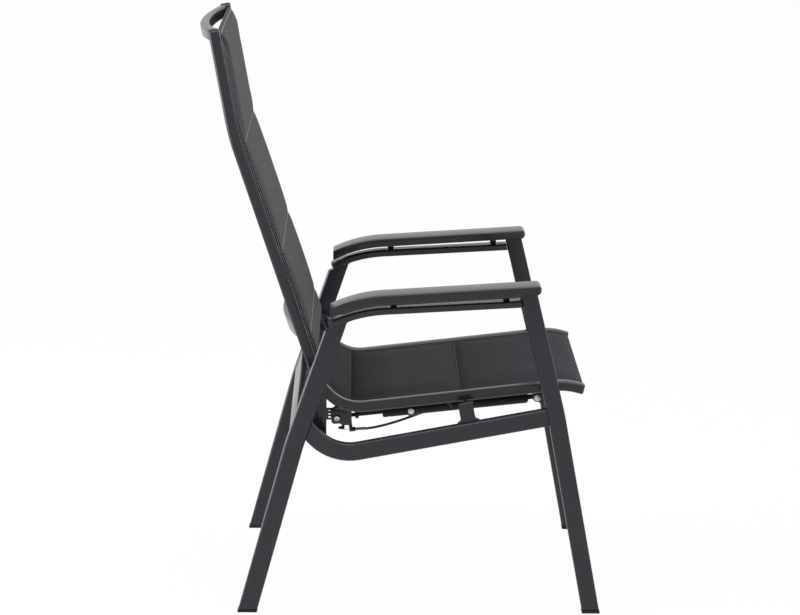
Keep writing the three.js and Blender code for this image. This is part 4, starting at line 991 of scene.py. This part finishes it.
back_mesh, back_held = sling_mesh(
    "back_sling_padded", back_line, back_seams, back_half, offset=-0.006, over=0.0015,
    under=0.0096, hem=back_hem, rise=back_rise, seam_reach=0.012, seam_depth=0.22)
# Painted shade: the back's colour is darker in a narrow band at each inner seam.
back_painted_shade = [(0, 1.0)]
for seam in back_seams[1:-1]:
    back_painted_shade += [(seam - 0.006, 1.0), (seam, 0.55), (seam + 0.003, 0.8), (seam + 0.012, 1.0)]
back_painted_shade.append((back_seams[-1], 1.0))
back_fabric = woven(
    "back woven mesh", (0.0350, 0.0340, 0.0400), (0.0600, 0.0585, 0.0680), back_painted_shade,
    hem_shade_at=(back_half - back_hem - back_rise - 0.002, back_half - back_hem - 0.006),
    hem_shade_tone=0.5)
back_pad = finished("back_sling_padded", subdivided(swollen(back_mesh, back_held, most=0.004)),
                    "back", "back_fabric", back_fabric, "back_sling")
stitched("back_sling_stitches", back_pad, back_line, "back", "back_fabric",
         [s * (back_half - inset) for s in (1, -1) for inset in back_hem_rows],
         [(seam, back_hem + back_rise) for seam in back_seams[1:-1]]
         + [(back_seams[0] + back_end_row, back_end_row),
            (back_seams[-1] - back_end_row, back_end_row)],
         back_seams[-1], back_half,
         thread("light grey thread", (0.30, 0.30, 0.31), (0.40, 0.40, 0.41)))

# The seat sling: the same mesh and padding on the seat's rails, coloured darker than the back's
# though the fabric is one, which is painted shade. It curls up at the back and has a wide
# folded hem and a stitched band at the front.
seat_low = pivot + np.array([0.0527, -0.0642])
seat_slope = math.radians(6.7)
seat_tail = math.radians(45)
seat_nose = math.radians(14.5)
tail_length = 0.059
level_length = 0.425
nose_length = 0.036
tail_bend_radius = 0.08
nose_bend_radius = 0.12
seat_crest = seat_low + level_length * np.array([math.cos(seat_slope), math.sin(seat_slope)])
seat_line = rounded_line([
    seat_low + tail_length * np.array([-math.cos(seat_tail), math.sin(seat_tail)]),
    seat_low, seat_crest,
    seat_crest + nose_length * np.array([math.cos(seat_nose), -math.sin(seat_nose)]),
], [tail_bend_radius, nose_bend_radius])
seat_seams = [0.0005, 0.066, 0.282, seat_line[0][-1] - 0.0003]
seat_half = 0.2185
seat_hem = 0.024
seat_hem_rows = (0.008, 0.024)
seat_front_rows = (0.005, 0.010)
row_before_seam = 0.0035
row_end_inset = 0.006
seat_mesh, seat_held = sling_mesh(
    "seat_sling_padded", seat_line, seat_seams, seat_half, offset=0.005, over=0.0035,
    under=0.0015, hem=seat_hem, rise=0.030, seam_reach=0.018, seam_depth=1.0)
# Painted light and shade along the seat: dark at the seams, a painted shadow of the back that
# fades out in front of the rear seam, and a painted lighter stretch before the front seam and
# at the nose.
seat_painted_light = [
    (0, 1.05), (seat_seams[1] - 0.004, 1.05), (seat_seams[1] - 0.001, 0.12),
    (seat_seams[1] + 0.006, 0.16), (seat_seams[1] + 0.009, 0.42), (seat_seams[1] + 0.085, 1.0),
    (seat_seams[2] - 0.008, 1.2), (seat_seams[2] - 0.001, 0.3), (seat_seams[2] + 0.004, 0.6),
    (seat_seams[2] + 0.015, 1.0), (seat_seams[3] - 0.05, 1.5), (seat_seams[3], 1.8),
]
# Painted shade: the seat's colours are darker than the back's, for one and the same fabric.
seat_fabric = woven(
    "seat woven mesh", (0.0205, 0.0198, 0.0232), (0.0375, 0.0364, 0.0422), seat_painted_light,
    hem_shade_at=(seat_half - seat_hem - 0.004, seat_half - seat_hem + 0.004), hem_shade_tone=0.8,
    specular=0.06, sheen=0.01, row_pitch=0.0045)
seat_pad = finished("seat_sling_padded", subdivided(swollen(seat_mesh, seat_held, most=0.002)),
                    "seat", "seat_fabric", seat_fabric, "seat_sling")
stitched("seat_sling_stitches", seat_pad, seat_line, "seat", "seat_fabric",
         [s * (seat_half - inset) for s in (1, -1) for inset in seat_hem_rows],
         [(seam - row_before_seam, seat_hem) for seam in seat_seams[1:-1]]
         + [(seat_seams[-1] - inset, row_end_inset) for inset in seat_front_rows],
         seat_seams[-1], seat_half,
         thread("grey thread", (0.075, 0.075, 0.079), (0.105, 0.105, 0.110)))
